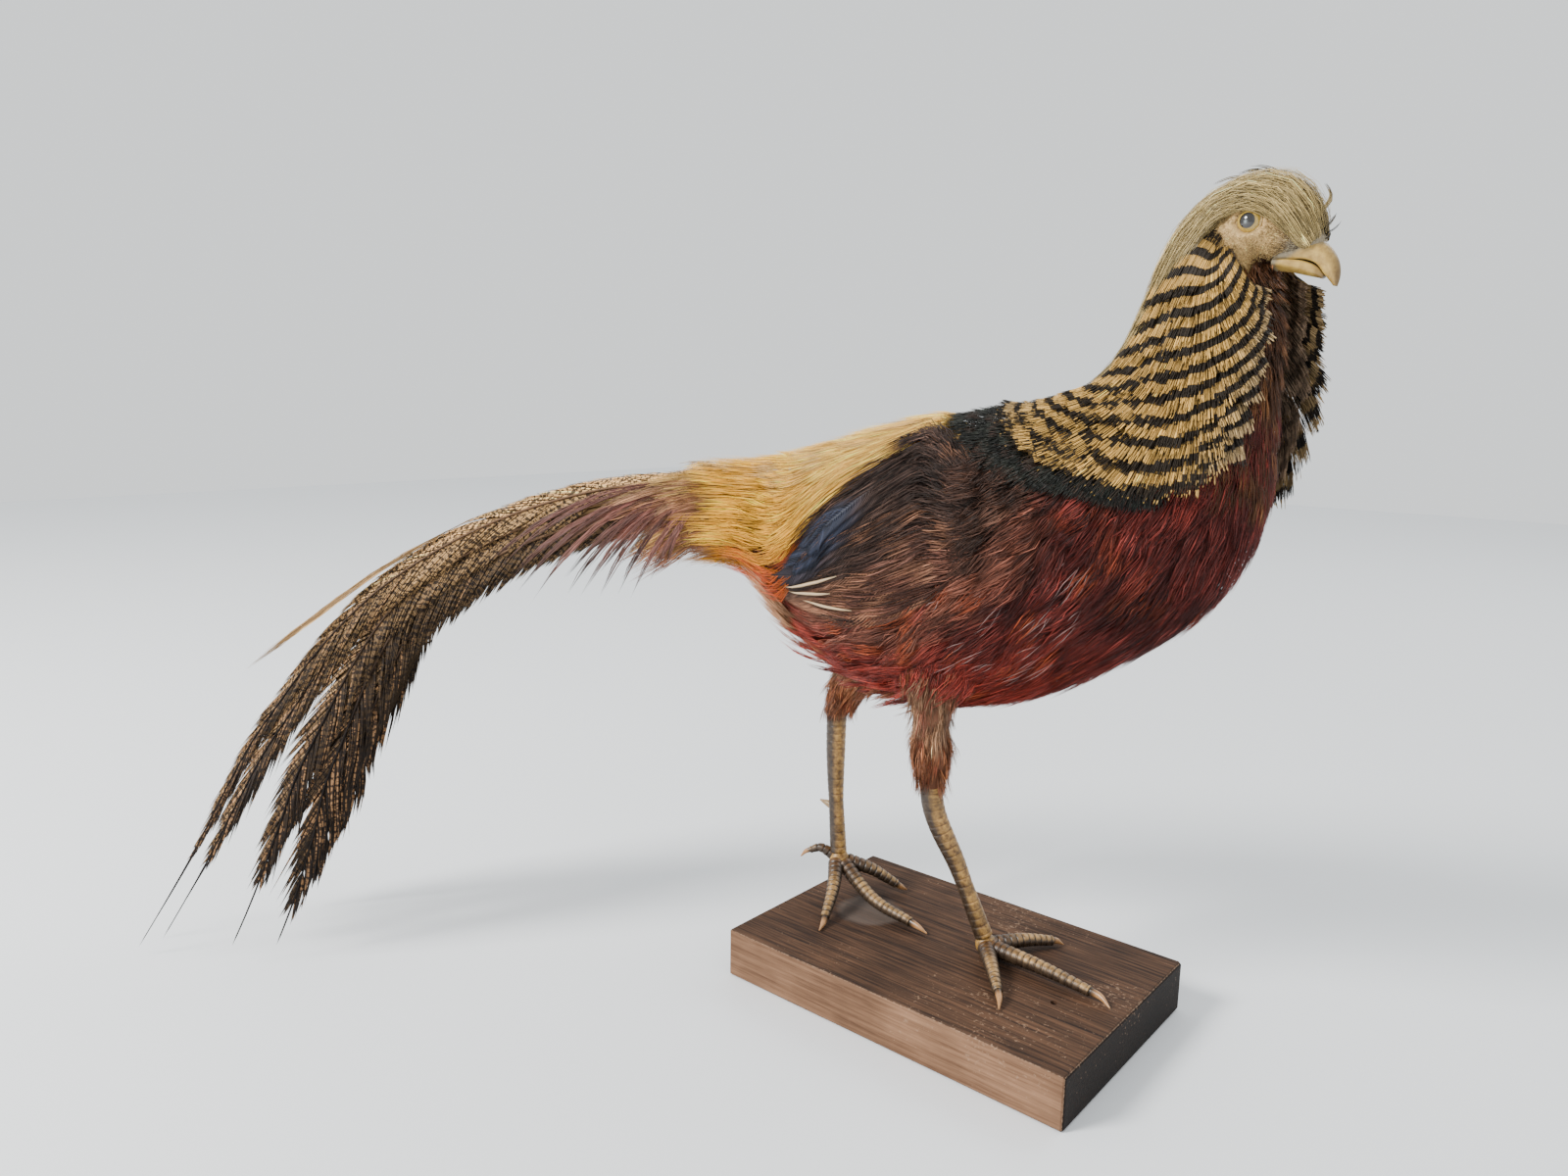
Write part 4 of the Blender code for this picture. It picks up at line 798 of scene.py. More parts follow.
batches = [crestStrands(crest["count"], crest["from"], crest["to"], crest["barbs"],
                        crest["clear"], crest["reach"])]
strayUv = bodyUv((np.array([qAt(15.0)]), np.array([0.0])))
for line, strands, dark in crest["strays"]:
    fine = smoothLine(line, 8)
    points = bent(fine[:, 0], fine[:, 1], fine[:, 2])[None]
    normals = np.broadcast_to((0.3, -0.5, 0.8), points.shape)
    tone = blendColours(np.array([colours["crest"]]) * 0.85, crest["strayDark"], [dark])
    batches.append(barbs((points, normals), 0.75, strands, 0.17, tone, strayUv, start=0.12,
                         end=(0.75, 1.0), spread=(0.9, 1.0, 0.6, 0.25), stations=7, lift=0.3,
                         shape=(1.5, 1.5, 0.7), tip=[crest["strayTip"]], tipFrom=0.55))
addPlumage("crest_hair", batches, crestMaterial, "crest", "crest")
brow = crestStrands(crest["brow"], crest["browFrom"], crest["browTo"], crest["browBarbs"],
                    crest["browClear"], crest["browReach"], crest["browSide"])
addPlumage("brow_hair", [brow], crestMaterial, "head")

mantle = {"rows": 7, "across": 52, "half": 4.6, "barbs": 13, "width": 0.25, "angle": 106,
          "lap": 16.0, "deep": (6.0, 30.0), "lift": 3.6,
          "longAt": (0.9, 1.3, 1.85), "long": (16.0, 11.0, 6.0)}
row, column = tractGrid(mantle["rows"], mantle["across"])
x = row / (mantle["rows"] - 1)
angle = (column / (mantle["across"] - 1) * 2 - 1) * mantle["angle"] + row % 2 * 2.0
angle = np.radians(angle)
n = len(x)
capeRows = np.array(bird["cape"])
capeEnd = np.interp(np.abs(np.degrees(angle)), capeRows[:, 0], capeRows[:, 2])
deep = mantle["deep"][0] + mantle["deep"][1] * ease(np.abs(angle), 1.45, 0.35)
q = qAt(capeEnd) + mantle["lap"] - x * deep - 6.0
long = np.interp(np.abs(angle), mantle["longAt"], mantle["long"])
path = bodyPath(q, angle, 0.15 * np.abs(angle), long, rising(n, 0.5, mantle["lift"], 0.8, 0.12))
tone = varied(colours["mantle"], 0.5, n)
tone = blendColours(tone, colours["shoulder"], 0.6 * (dice.random(n) < 0.2))
batch = barbs(path, mantle["half"], mantle["barbs"], mantle["width"], tone, bodyUv((q, angle)),
              end=(0.85, 1.0), lift=0.35, stations=3)
addPlumage("mantle", [batch], plumeMaterial("mantle", 0.45, specular=0.3), "rump")

rump = {"rows": 14, "across": 30, "half": 3.6, "barbs": 20, "width": 0.17, "to": 0.84,
        "reach": 0.24, "lift": 6.0, "edgeLift": 4.5, "overhang": 0.34}
row, column = tractGrid(rump["rows"], rump["across"])
x = row / (rump["rows"] - 1) * rump["to"]
y = (column + 0.5) / rump["across"] * 2 - 1 + (row % 2 - 0.5) / rump["across"]
n = len(x)
x = x + dice.normal(0, 0.012, n) - 0.04
y = (y + dice.normal(0, 0.008, n)) * (1 + rump["overhang"] * ease(x, 0.4, 0.6) * ease(x, 0.95, 0.8))
reach = rump["reach"] + 0.07 * x + dice.normal(0, 0.015, n)
reach = reach + 0.2 * dice.random(n) ** 2 * ease(x, 0.55, 0.8)
lowSide = np.abs(y)
end = (x + reach, y * (1 + 0.04 * dice.normal(0, 1, n)))
lifts = rising(n, 0.5, rump["lift"], 0.75, 0.12)
lifts = lifts + (rump["edgeLift"] * ease(lowSide, 0.6, 1.0) * ease(x, 0.0, 0.3))[:, None]
path = tractPath(rumpSpot, (x, y), end, lifts)
tone = blendColours(colours["back"], colours["rump"], ease(x + 0.35 * lowSide, 0.4, 0.85))
tone = varied(tone, 0.13, n)
straw = (dice.random(n) < 0.25 + 0.3 * ease(x, 0.4, 0.8)) * ease(lowSide, 0.7, 0.4)
tone = blendColours(tone, colours["straw"], 0.7 * straw)
fringe = ease(lowSide + 0.05 * dice.normal(0, 1, n), 0.98, 1.12)
fringe = fringe * ease(x, 0.25, 0.4) * ease(x, 0.85, 0.65)
tone = blendColours(tone, colours["rumpFringe"], 0.75 * fringe)
tip = blendColours(tone, colours["rumpRed"], fringe)
batch = barbs(path, rump["half"], rump["barbs"], rump["width"], tone, bodyUv(path[2]), start=0.4,
              end=(0.7, 1.0), spread=(0.4, 0.95, 1.1, 0.85), lift=0.6, shade=0.3, stations=3,
              wild=0.12, tip=tip, tipFrom=-0.6)
rumpMaterial = plumeMaterial("rump", 0.5, specular=0.25)
addPlumage("rump_plumes", [batch], rumpMaterial, "rump", "rump")

vent = {"count": 210, "barbs": 18, "half": 4.5, "width": 0.26, "along": (-6.0, 44.0),
        "angle": 0.95, "long": (20, 32), "lift": 7.5}
n = vent["count"]
q = dice.uniform(*vent["along"], n)
angle = math.pi + dice.uniform(-vent["angle"], vent["angle"], n)
long = dice.uniform(*vent["long"], n)
path = bodyPath(q, angle, np.zeros(n), long, rising(n, -1.0, vent["lift"], 0.9, 0.3))
batch = barbs(path, vent["half"], vent["barbs"], vent["width"], varied(colours["vent"], 0.22, n),
              bodyUv((q, angle)), lift=0.9, stations=3)
addPlumage("vent_plumes", [batch], coatMaterial, "vent", "vent")

wing = {
    # where each flight feather ends: across and along the wing
    "flights": ((0.16, 0.69), (0.23, 0.78), (0.33, 0.87), (0.44, 0.94), (0.56, 0.985),
                (0.69, 0.96), (0.83, 0.87)),
    "root": 0.26, "wide": 5.4, "outlineAt": (0, 0.2, 0.75, 0.93, 1),
    "outline": (0.6, 0.95, 1.0, 0.72, 0.2), "fan": 46, "fanWide": (0.42, 0.5, 0.4, 0.2),
    "rows": 9, "across": 15, "barbs": 16, "half": 4.4, "width": 0.27, "to": 0.42,
    "reach": 0.22, "slope": -0.09, "blue": (1.0, 1.0, 0.6),  # share of blue, top feather first
    "shaftFrom": 4, "shaftLift": 2.4, "shaftWide": 0.85,
}
wingMaterial = plumeMaterial("wing", 0.5, streaks=0.45, specular=0.25)


def flightFeather(spot, k, layer):
    # one smooth vane, its pale shaft on the lower ones, and a fan of barbs on each side
    count = len(wing["flights"])
    tipY, tipX = wing["flights"][k]
    tipY, tipX = tipY + 0.055 * layer, tipX - 0.035 * layer
    rootY = (k + 0.5 + 0.4 * layer) / count
    u = np.linspace(0, 1, 16)
    x = wing["root"] + (tipX - wing["root"]) * u
    y = rootY + (tipY - rootY) * u + 0.02 * np.sin(u * 3)
    stack = 1.2 + 0.8 * (count - 1 - k) - 0.5 * layer
    lift = 1.3 + stack * np.minimum(1, 0.3 + 1.2 * u)
    q, angle = spot(x, y)
    points = bodyPoint(q, angle, lift)[None]
    normals = unit(bodyPoint(q, angle, lift + 1.0)[None] - points)
    wide = wing["wide"] * np.interp(u, wing["outlineAt"], wing["outline"])
    brown = blendColours(colours["wing"], colours["wingLow"], 0.35 * max(0, k - 3))
    blue = wing["blue"][k] if k < len(wing["blue"]) else 0.0
    tone = blendColours(brown, colours["wingBlue"], ease(u, 0.34, 0.6) * blue)
    # painted shade: the second, lower layer of each flight feather is darker
    tone = tone * (1.0 - 0.15 * layer)
    uv = bodyUv((q[:1], angle[:1]))
    feather = [blades((points, normals), wide, tone[None], uv, 0.1)]
    if k >= wing["shaftFrom"] and layer == 0:
        rear = slice(6 + k % 2, 13)
        line = (points[:, rear] + normals[:, rear] * wing["shaftLift"], normals[:, rear])
        slim = wing["shaftWide"] * np.sin(np.linspace(0.25, 3.0, 7 - k % 2))
        feather.append(blades(line, slim, colours["wingShaft"], uv, 0.7))
    fan = wing["fan"]
    v = np.linspace(0.02, 0.97, fan)
    place, up, ahead = (alongLine(line, v[None, :, None])[0]
                        for line in (points, normals, np.gradient(points, axis=1)))
    ahead = unit(ahead)
    size = wing["wide"] * np.interp(v, wing["outlineAt"], wing["outline"])[:, None, None] * 1.06
    run = np.linspace(0, 1, 4)[None, :, None]
    for hand in (1, -1):
        line = place + np.cross(ahead, up) * hand * size * run + ahead * size * 2.0 * run ** 1.4
        line = line + up * (0.35 + 0.25 * run)
        pale = varied(alongLine(tone[None], v[None, :, None])[0, :, 0], 0.35, fan) * 1.25
        feather.append(blades((line, np.repeat(up, 4, 1)), wing["fanWide"], pale, uv, 0.5))
    return feather


for side, label in ((1, "right"), (-1, "left")):
    spot = wingSpot(side)
    batches = []
    for k in range(len(wing["flights"])):
        for layer in (0, 1):
            batches += flightFeather(spot, k, layer)
    row, column = tractGrid(wing["rows"], wing["across"])
    x = -0.05 + row / (wing["rows"] - 1) * (wing["to"] + 0.05)
    y = ((column + 0.5) * 1.08 + 0.5 * (row % 2 - 0.5)) / wing["across"] - 0.04
    n = len(x)
    x, y = x + dice.normal(0, 0.012, n), y + dice.normal(0, 0.012, n)
    reach = wing["reach"] + 0.12 * ease(x, 0.2, wing["to"]) + dice.normal(0, 0.015, n)
    high = 2.4 + (2.0 + 5.5 * (1 - y)) * ease(x, -0.04, 0.16)
    lifts = rising(n, 0.0, high[:, None], 0.6, 0.0)
    end = (x + reach, y + wing["slope"] + dice.normal(0, 0.02, n))
    path = tractPath(spot, (x, y), end, lifts)
    tone = blendColours(colours["wing"], colours["flank"], 0.45 * ease(y, 0.5, 1.0))
    tone = varied(tone, 0.35, n)
    light = dice.random(n) < 0.10 + 0.35 * ease(y, 0.6, 1.0)
    tone = blendColours(tone, colours["wingLow"], 0.7 * light)
    batches.append(barbs(path, wing["half"], wing["barbs"], wing["width"], tone, bodyUv(path[2]),
                         start=0.45, end=(0.75, 1.0), lift=0.5, shade=0.55, stations=3))
    addPlumage("wing_plumes_" + label, batches, wingMaterial, "wing_" + label, "wing_" + label)

tail = {
    # along and height of the top line, root to tip; below it, slopes in degrees, top and foot
    "ridge": ((-84.0, 248.6), (-110.0, 253.2), (-146.0, 252.0), (-183.0, 245.0), (-224.0, 231.0),
              (-256.0, 214.5), (-285.0, 194.0), (-312.0, 166.0), (-334.0, 137.0), (-350.0, 115.0),
              (-364.0, 91.0), (-382.0, 57.0), (-397.0, 31.0), (-412.0, 6.0)),
    "slope": (18.0, 96.0), "reach": 76.0, "deep": 114.0, "split": 0.4, "bend": 200.0,
    "narrowAt": (0.0, 60.0, 160.0, 260.0, 340.0, 460.0),
    "narrow": (0.50, 0.72, 0.88, 1.0, 1.0, 0.8),
    # middle line below the ridge, fall past the bend, half-width, ends of the vane and the quill
    "feathers": ((10.5, 0.0, 9.8, 384.0, 446.0), (18.0, 0.035, 12.0, 378.0, 428.0),
                 (27.0, 0.19, 13.5, 372.0, 411.0), (38.0, 0.245, 13.5, 380.0, 403.0),
                 (48.0, 0.215, 10.8, 364.0, 384.0)),
    "root": 4.0, "ground": 1.2, "gap": 1.5, "cant": 1.15, "barbStep": 0.95, "broad": 8.0,
    "stripOutline": (0.35, 0.8, 1.0, 0.9, 0.55, 0.1), "outline": (0.35, 0.8, 1.0, 0.88, 0.5, 0.16),
    "barbWide": (0.5, 0.55, 0.42, 0.2), "quillWide": (1.1, 0.7, 0.5, 0.3),
    "scrawlGap": 2.4, "scrawlSlant": 0.8, "scrawlWander": 13.0,
}
ridge = np.array(tail["ridge"])
ridgeA = runLengths(ridge)
ridgeAt = np.arange(0.0, ridgeA[-1], 1.0)
ridgeTable = smoothTable(ridge, ridgeA, ridgeAt)
ridgeSlope = unit(np.gradient(ridgeTable, axis=0))
roofY = np.linspace(0.0, tail["deep"], 91)
roofTurn = np.radians(np.interp(roofY, (0.0, tail["reach"]), tail["slope"]))
roofOut, roofDown = (np.concatenate(([0.0], np.cumsum(part[1:]) * roofY[1]))
                     for part in (np.cos(roofTurn), np.sin(roofTurn)))


def tailPoint(side, x, y, h):
    # x along the ridge, y down one side of the roof that the tail makes, h off it
    x, y, h = np.broadcast_arrays(np.asarray(x, float), y, h)
    s, z = (np.interp(x, ridgeAt, ridgeTable[:, k]) for k in (0, 1))
    backS, backZ = (np.interp(x, ridgeAt, ridgeSlope[:, k]) for k in (0, 1))
    narrow = np.interp(x, tail["narrowAt"], tail["narrow"])
    slope = np.interp(y, roofY, roofTurn)
    outward = narrow * np.interp(y, roofY, roofOut) + h * np.sin(slope)
    outward = np.maximum(0.0, outward) + tail["split"]
    upward = h * np.cos(slope) - narrow * np.interp(y, roofY, roofDown)
    return bent(s + backZ * upward, side * outward, z - backS * upward)


def tailPath(side, x, y, h):
    points = tailPoint(side, x, y, h)
    return points, unit(tailPoint(side, x, y, h + 1.0) - points)


def tailUv(x, y, side):
    across, along = 0.5 + side * (0.02 + y / 170.0), 0.11 * (1 - x / 470.0)
    return np.clip(np.stack(np.broadcast_arrays(across, along), -1), 0, 1)


def tailMarks(tree, colour):
    # scrawls in slanting rows, counted along and across each feather in millimetres
    mark = attributeNode(tree, "marks", "Vector")
    along, across, dark = partsNode(tree, mark)
    noise = noiseNode(tree, mark, 0.26, 2.0, Distortion=1.2)
    aside = mathNode(tree, "ABSOLUTE", across)
    slant = mathNode(tree, "MULTIPLY_ADD", aside, tail["scrawlSlant"], along)
    wave = mathNode(tree, "MULTIPLY_ADD", noise, tail["scrawlWander"], slant)
    row = mathNode(tree, "PINGPONG", wave, tail["scrawlGap"])
    row = mathNode(tree, "DIVIDE", row, tail["scrawlGap"])
    line = rampNode(tree, ((0.42, grey(1.0)), (0.54, grey(0.0))), row)
    return mixNode(tree, mathNode(tree, "MULTIPLY", line, dark), colour, colours["scrawl"])


def tailFeather(side, k):
    centre, fall, wide, vaneEnd, quillEnd = tail["feathers"][k]
    low = -tail["gap"] - tail["cant"] * k
    wideAt = (4.0, 90.0, 170.0, vaneEnd - 110.0, vaneEnd - 40.0, vaneEnd)
    broad = tail["broad"] if k == 0 else 0.0  # the middle pair is one smooth web near its root
    apart = 31 * k  # each feather has its own scrawls
    base = blendColours(colours["tail"], colours["tailDark"], 0.8 * ease(k, 0.5, 3.0))

    def middleLine(x):
        line = centre + broad * 0.55 * ease(x, 290, 190) + fall * np.maximum(0.0, x - tail["bend"])
        return line + 0.9 * np.sin(x * 0.019 + 2 * k)

    def seated(x, y, h):
        # on the roof, and never below the surface that the block stands on
        y = np.clip(y, 0.3, tail["deep"])
        points = tailPoint(side, x, y, h)
        points[..., 2] = np.maximum(points[..., 2], tail["ground"])
        return points, unit(tailPoint(side, x, y, h + 1.0) - points)

    # a dark strip inside, so that no light shows between the barbs; its darkness is painted shade
    x = np.linspace(tail["root"], vaneEnd - 45.0, 60)
    size = (wide + broad * ease(x, 300, 180)) * np.interp(x, wideAt, tail["stripOutline"])
    tone = blendColours(base, colours["tailDark"], 0.75 * ease(x, 150, 330))[None]
    uv = tailUv(x[:1], centre, side)
    feather = [blades(seated(x[None], middleLine(x)[None], low - 0.6), 0.45 * size, tone * 0.5,
                      uv, 0.02)]
    fan = int(vaneEnd / tail["barbStep"])
    along = np.sort(dice.uniform(8.0, vaneEnd, fan))
    clump = np.sin(along * 0.55) + np.sin(along * 0.23 + k)
    dusk = ease(along, 120, 330)
    run = np.linspace(0, 1, 4)[None]
    for hand in (1, -1):
        half = (wide + broad * ease(along, 300, 180)) * np.interp(along, wideAt, tail["outline"])
        half = half * dice.uniform(0.8, 1.08, fan)
        ragged = 0.10 * clump + dice.normal(0, 0.12, fan)
        half = half * (1 + ragged * ease(along, 170, 300))
        if k == 0 and hand < 0:  # the two middle webs meet along the ridge
            half = np.maximum(half, (middleLine(along) - 0.3) * ease(along, 330, 270))
        slant = (half * (1.9 + 2.6 * ease(along, 200, vaneEnd) + 0.2 * clump))[:, None]
        x = along[:, None] + slant * run ** 1.2
        y = middleLine(along)[:, None] + hand * half[:, None] * run ** 0.9 + fall * slant * run
        h = low + 0.3 + 0.5 * run + dice.normal(0, 0.45, (fan, 1)) * run
        share, level = (0.62, 1.1) if hand < 0 else (0.95, 0.62)
        tone = blendColours(base, colours["tailDark"], share * dusk)
        tone = varied(tone, 0.2 + 0.3 * dusk, fan) * (1 - 0.4 * dusk)[:, None] * level
        tone = blendColours(tone, colours["tailRust"], 0.7 * (dice.random(fan) < 0.25 * dusk))
        marks = np.stack([x + apart, y - middleLine(x), np.full_like(x, 0.9)], -1)
        feather.append(blades(seated(x, y, h), tail["barbWide"], tone,
                              tailUv(along, centre, side), 0.5, marks))
    x = np.linspace(tail["root"], min(quillEnd, ridgeA[-1] - 1), 70)
    size = np.interp(x, (0, 200, vaneEnd, quillEnd), tail["quillWide"])
    tone = blendColours(colours["quill"], colours["quillEnd"], ease(x, 100, 300))[None]
    feather.append(blades(seated(x[None], middleLine(x)[None], low + 0.7), size, tone, uv, 1.0))
    return feather


def slimFeather():
    # one slim feather that parts from the top, on the right
    u = np.linspace(0, 1, 14)[None]
    x = 150.0 + 138.0 * u
    path = tailPath(-1, x, 5.0 - 2.0 * u, 1.2 + 20.0 * u ** 2.6)
    return barbs(path, 3.4, 70, 0.26, np.array([colours["tail"]]) * 0.45,
                 tailUv(x[:, 0], x[:, 0] * 0, -1), start=0.75, end=(0.8, 1.0),
                 spread=(0.1, 0.8, 1.0, 0.3), shade=0.4)


tailMaterial = plumeMaterial("tail", 0.6, streaks=0.2, pattern=tailMarks, specular=0.15)
for side, label in ((-1, "right"), (1, "left")):
    batches = []
    for k in range(len(tail["feathers"])):
        batches += tailFeather(side, k)
    if side < 0:
        batches.append(slimFeather())
    addPlumage("tail_vanes_" + label, batches, tailMaterial, "tail_" + label + "_base",
               "tail_" + label + "_base", "tail_" + label + "_end")

coverts = {
    # where the coverts end, along the tail and down its side, from the top pair to the lowest
    "tips": ((154.0, 47.0), (133.0, 60.0), (114.0, 76.0), (86.0, 77.0), (62.0, 88.0),
             (40.0, 84.0)),
    "lowest": 108.0, "spikes": 13, "count": 30, "barbs": 13, "half": 1.9, "spikeHalf": 1.3,
    "width": 0.22, "spikeLift": 5.0,
    "streamers": 150, "strands": 13, "streamerHalf": 2.6, "streamerWidth": 0.17,
    "streamerLong": (22.0, 62.0), "side": 72.0,
}
covertMaterial = plumeMaterial("coverts", 0.45, streaks=0.3)


def covertSpikes(side):
    # long stiff spikes with short coverts between them
    n = coverts["spikes"] + coverts["count"]
    spike = np.arange(n) < coverts["spikes"]
    tips = np.array(coverts["tips"])
    low = len(tips) - 1
    place = np.where(spike, np.arange(n) * low / (coverts["spikes"] - 1), dice.random(n) * low)
    far = np.where(spike, dice.uniform(1.0, 1.14, n), dice.uniform(0.6, 0.92, n))
    tipX, tipY = (np.interp(place, range(len(tips)), tips[:, k]) * far for k in (0, 1))
    tipY = np.minimum(tipY, coverts["lowest"])
    rootX, rootY = dice.uniform(4, 26, n), 16 + 4.6 * place + dice.normal(0, 1.5, n)
    u = np.linspace(0, 1, 10)[None]
    x = rootX[:, None] + (tipX - rootX)[:, None] * u
    y = rootY[:, None] + (tipY - rootY)[:, None] * u ** 1.2
    lift = np.where(spike, coverts["spikeLift"], 0.6 + 0.7 * (low + 1 - place))
    h = 1.0 + lift[:, None] * np.minimum(1, 2 * u) + dice.normal(0, 0.4, (n, 1)) * u
    brown = np.array(colours["tail"]) * 0.6
    tone = blendColours(brown, colours["covertRed"], dice.random(n) ** 0.45)
    tone = varied(np.where(spike[:, None], colours["spike"], tone), 0.35, n)
    tip = np.where(spike[:, None], colours["spikeTip"], tone * 0.7)
    half = np.where(spike, coverts["spikeHalf"], coverts["half"])
    return barbs(tailPath(side, x, y, h), half, coverts["barbs"], coverts["width"], tone,
                 tailUv(rootX, rootY, side), start=0.6, end=(0.7, 1.0),
                 spread=(0.5, 0.95, 0.9, 0.15), lift=0.25, tip=tip, tipFrom=0.35)


def covertStreamers(side):
    # thin golden and pink plumes that run from the rump over the tail
    n = coverts["streamers"]
    rootX, rootY = dice.uniform(1.0, 24.0, n), coverts["side"] * dice.random(n)
    lower = rootY / (coverts["side"] + 2.0)
    long = dice.uniform(*coverts["streamerLong"], n)
    long = (long * (1.0 - 0.35 * lower) * (0.35 + 1.15 * ease(rootY, 8, 26)))[:, None]
    sweep = np.radians(3.0 + 18.0 * lower + dice.normal(0, 4.0, n))[:, None]
    u = np.linspace(0, 1, 10)[None]
    x = rootX[:, None] + long * np.cos(sweep) * u
    y = np.maximum(rootY[:, None] + long * np.sin(sweep) * u, 0.4)
    h = (6.5 - 0.04 * rootY[:, None]) * (1 - 0.75 * u) + dice.normal(0, 0.8, (n, 1)) * u
    rust = dice.random(n) < 0.12 + 0.7 * ease(rootY, 14, 38)
    tone = blendColours(colours["back"], colours["straw"], 0.7 * dice.random(n))
    tone = varied(blendColours(tone, colours["covertRed"], 0.7 * rust), 0.2, n)
    last = blendColours(tone * (0.85, 0.7, 0.6), colours["covertRed"], 0.95 * rust)
    return barbs(tailPath(side, x, y, h), coverts["streamerHalf"], coverts["strands"],
                 coverts["streamerWidth"], tone, tailUv(rootX, rootY, side), start=0.5,
                 end=(0.6, 1.0), spread=(0.6, 1.0, 0.9, 0.3), lift=0.5, tip=last, tipFrom=0.35,
                 shade=0.28, stations=3)


for side, label in ((-1, "right"), (1, "left")):
    addPlumage("covert_plumes_" + label, [covertSpikes(side), covertStreamers(side)],
               covertMaterial, "coverts_" + label, "coverts_" + label)


def addSolid(name, points, faces, material, slot, *hides, uv=None, tint=None):
    mesh = bpy.data.meshes.new(name)
    mesh.from_pydata([tuple(p) for p in np.asarray(points) * mm], [], faces)
    build = bmesh.new()
    build.from_mesh(mesh)
    bmesh.ops.recalc_face_normals(build, faces=build.faces)
    build.to_mesh(mesh)
    build.free()
    if tint is not None:
        paint(mesh, tint)
    if uv is not None:
        layer = mesh.uv_layers.new(name="OFBake")
        index = np.zeros(len(mesh.loops), int)
        mesh.loops.foreach_get("vertex_index", index)
        layer.uv.foreach_set("vector", np.asarray(uv)[index].ravel())
    mesh.shade_smooth()
    addPiece(name, mesh, material, hides)


def ringQuads(rings, around, closed=False):
    # the four-sided faces between one ring and the next
    return [(i * around + k, i * around + (k + 1) % around,
             (i + 1) % rings * around + (k + 1) % around, (i + 1) % rings * around + k)
            for i in range(rings if closed else rings - 1) for k in range(around)]


def closedRings(rings):
    # a tube whose ends are closed to the middle of the first and last ring
    rings = np.asarray(rings)
    count, around = rings.shape[:2]
    points = np.concatenate([rings.reshape(-1, 3), rings[:1].mean(1), rings[-1:].mean(1)])
    faces = ringQuads(count, around)
    first, last = count * around, count * around + 1
    for k in range(around):
        faces.append((first, (k + 1) % around, k))
        faces.append((last, first - around + k, first - around + (k + 1) % around))
    return points, faces


def capped(tint):
    # colours for the rings, and for the two points that close them
    tint = tint.reshape(-1, 3)
    return np.concatenate([tint, tint[:1], tint[-1:]])


def eyeAxis(side):
    s, z, out = bird["eye"]
    centre = bent(s, side * out, z)
    return centre, unit(centre - bent(s, -side * out, z))


skin = {
    "around": 120, "step": 1.5, "roughness": 0.8, "lore": (0.16, 0.12, 0.085),
    # how deep the skin lies under the plumage at these stations
    "sinkAt": (0, 8.5, 9.5, 11.5, 12.5, 16), "sink": (-4, -4, -2.5, -2.5, -0.6, -0.6),
    "nose": (0.93, 0.78, 0.55, 0.28),
    # from the middle of the eye: the socket's edge, the swell round it and the brow
    "socket": 5.0, "swellAt": 5.9, "swell": 0.8, "browAt": 8.2, "brow": 0.7,
}
qs = np.arange(0.0, sectionQ[-1], skin["step"])
lift = np.interp(qs, qAt(np.array(skin["sinkAt"])), skin["sink"])
turn = np.linspace(-math.pi, math.pi, skin["around"], endpoint=False)
rings = list(bodyPoint(qs[:, None], turn[None], lift[:, None]))
end = qs[-1]
ring = bodyPoint(end, turn, skin["sink"][-1])
middle = ring.mean(0)
ahead = unit(bodyPoint(end, turn, 0).mean(0) - bodyPoint(end - 2, turn, 0).mean(0))
for shrink in skin["nose"]:
    rings.append(middle + (ring - middle) * shrink + ahead * 3.0 * math.sqrt(1 - shrink ** 2))
rings = np.array(rings)
for side in (1, -1):
    centre, axis = eyeAxis(side)
    offset = rings - centre
    deep = offset @ axis
    wide = np.linalg.norm(offset - deep[..., None] * axis, axis=-1)
    near = (deep > -4) & (wide < 9)
    rise = skin["swell"] * np.exp(-((wide - skin["swellAt"]) / 1.2) ** 2)
    rise = rise - 5.0 * ease(wide, skin["socket"], skin["socket"] - 1.0)
    brow = skin["brow"] * np.exp(-((wide - skin["browAt"]) / 1.2) ** 2) * (offset[..., 2] > 2)
    rings = rings + (near * (rise + brow))[..., None] * axis
points, faces = closedRings(rings)
allQ = np.append(qs, np.full(len(skin["nose"]), end))
gridQ, gridAngle = np.broadcast_arrays(allQ[:, None], turn[None])
station = np.interp(gridQ, sectionQ, np.arange(len(sectionQ)))
wrap = np.abs(gridAngle)
capeLow = np.interp(np.degrees(wrap), capeRows[:, 0], capeRows[:, 2])
head = ease(station, 12.2, 12.6)
underCape = (station > capeLow) * (station < 12.4) * (np.degrees(wrap) < capeRows[-1, 0])
lore = ease(station, 14.8, 15.8) * ease(wrap, 1.2, 1.5) * (wrap < 2.5)
tint = coatColour(gridQ, gridAngle)
# the skin under the cape and under the back's plumes takes their colours darkened, as painted shade
# beneath them
for colour, share in (
        (colours["throat"], ease(station, 8.4, 9.6) * (wrap > 1.9)),
        (colours["mantle"], ease(station, capeLow - 1.9, capeLow - 1.3) * (wrap < 1.4)),
        (np.array(colours["capeGold"]) * 0.5, underCape),
        (np.array(colours["back"]) * 0.7, (sOf(gridQ) < 34) * (wrap < 1.0)),
        (colours["face"], head * (wrap < 2.5)),
        (skin["lore"], 0.75 * lore),
        (colours["faceGrey"], 0.9 * ease(station, 15.9, 16.5)),
        (colours["throat"], head * (wrap > 2.5))):
    tint = blendColours(tint, colour, share)
tint = np.concatenate([tint.reshape(-1, 3), tint[:1].mean(1), tint[-1:].mean(1)])
uv = bodyUv((np.append(gridQ.ravel(), (0, end)), np.append(gridAngle.ravel(), (0, 0))))


def speckle(tree, shader, noise, stops):
    # the piece's own colour, darker where the noise is low
    shade = rampNode(tree, stops, noise)
    colour = mixNode(tree, 1.0, attributeNode(tree, "tint"), shade, "MULTIPLY")
    tree.links.new(colour, shader.inputs["Base Color"])


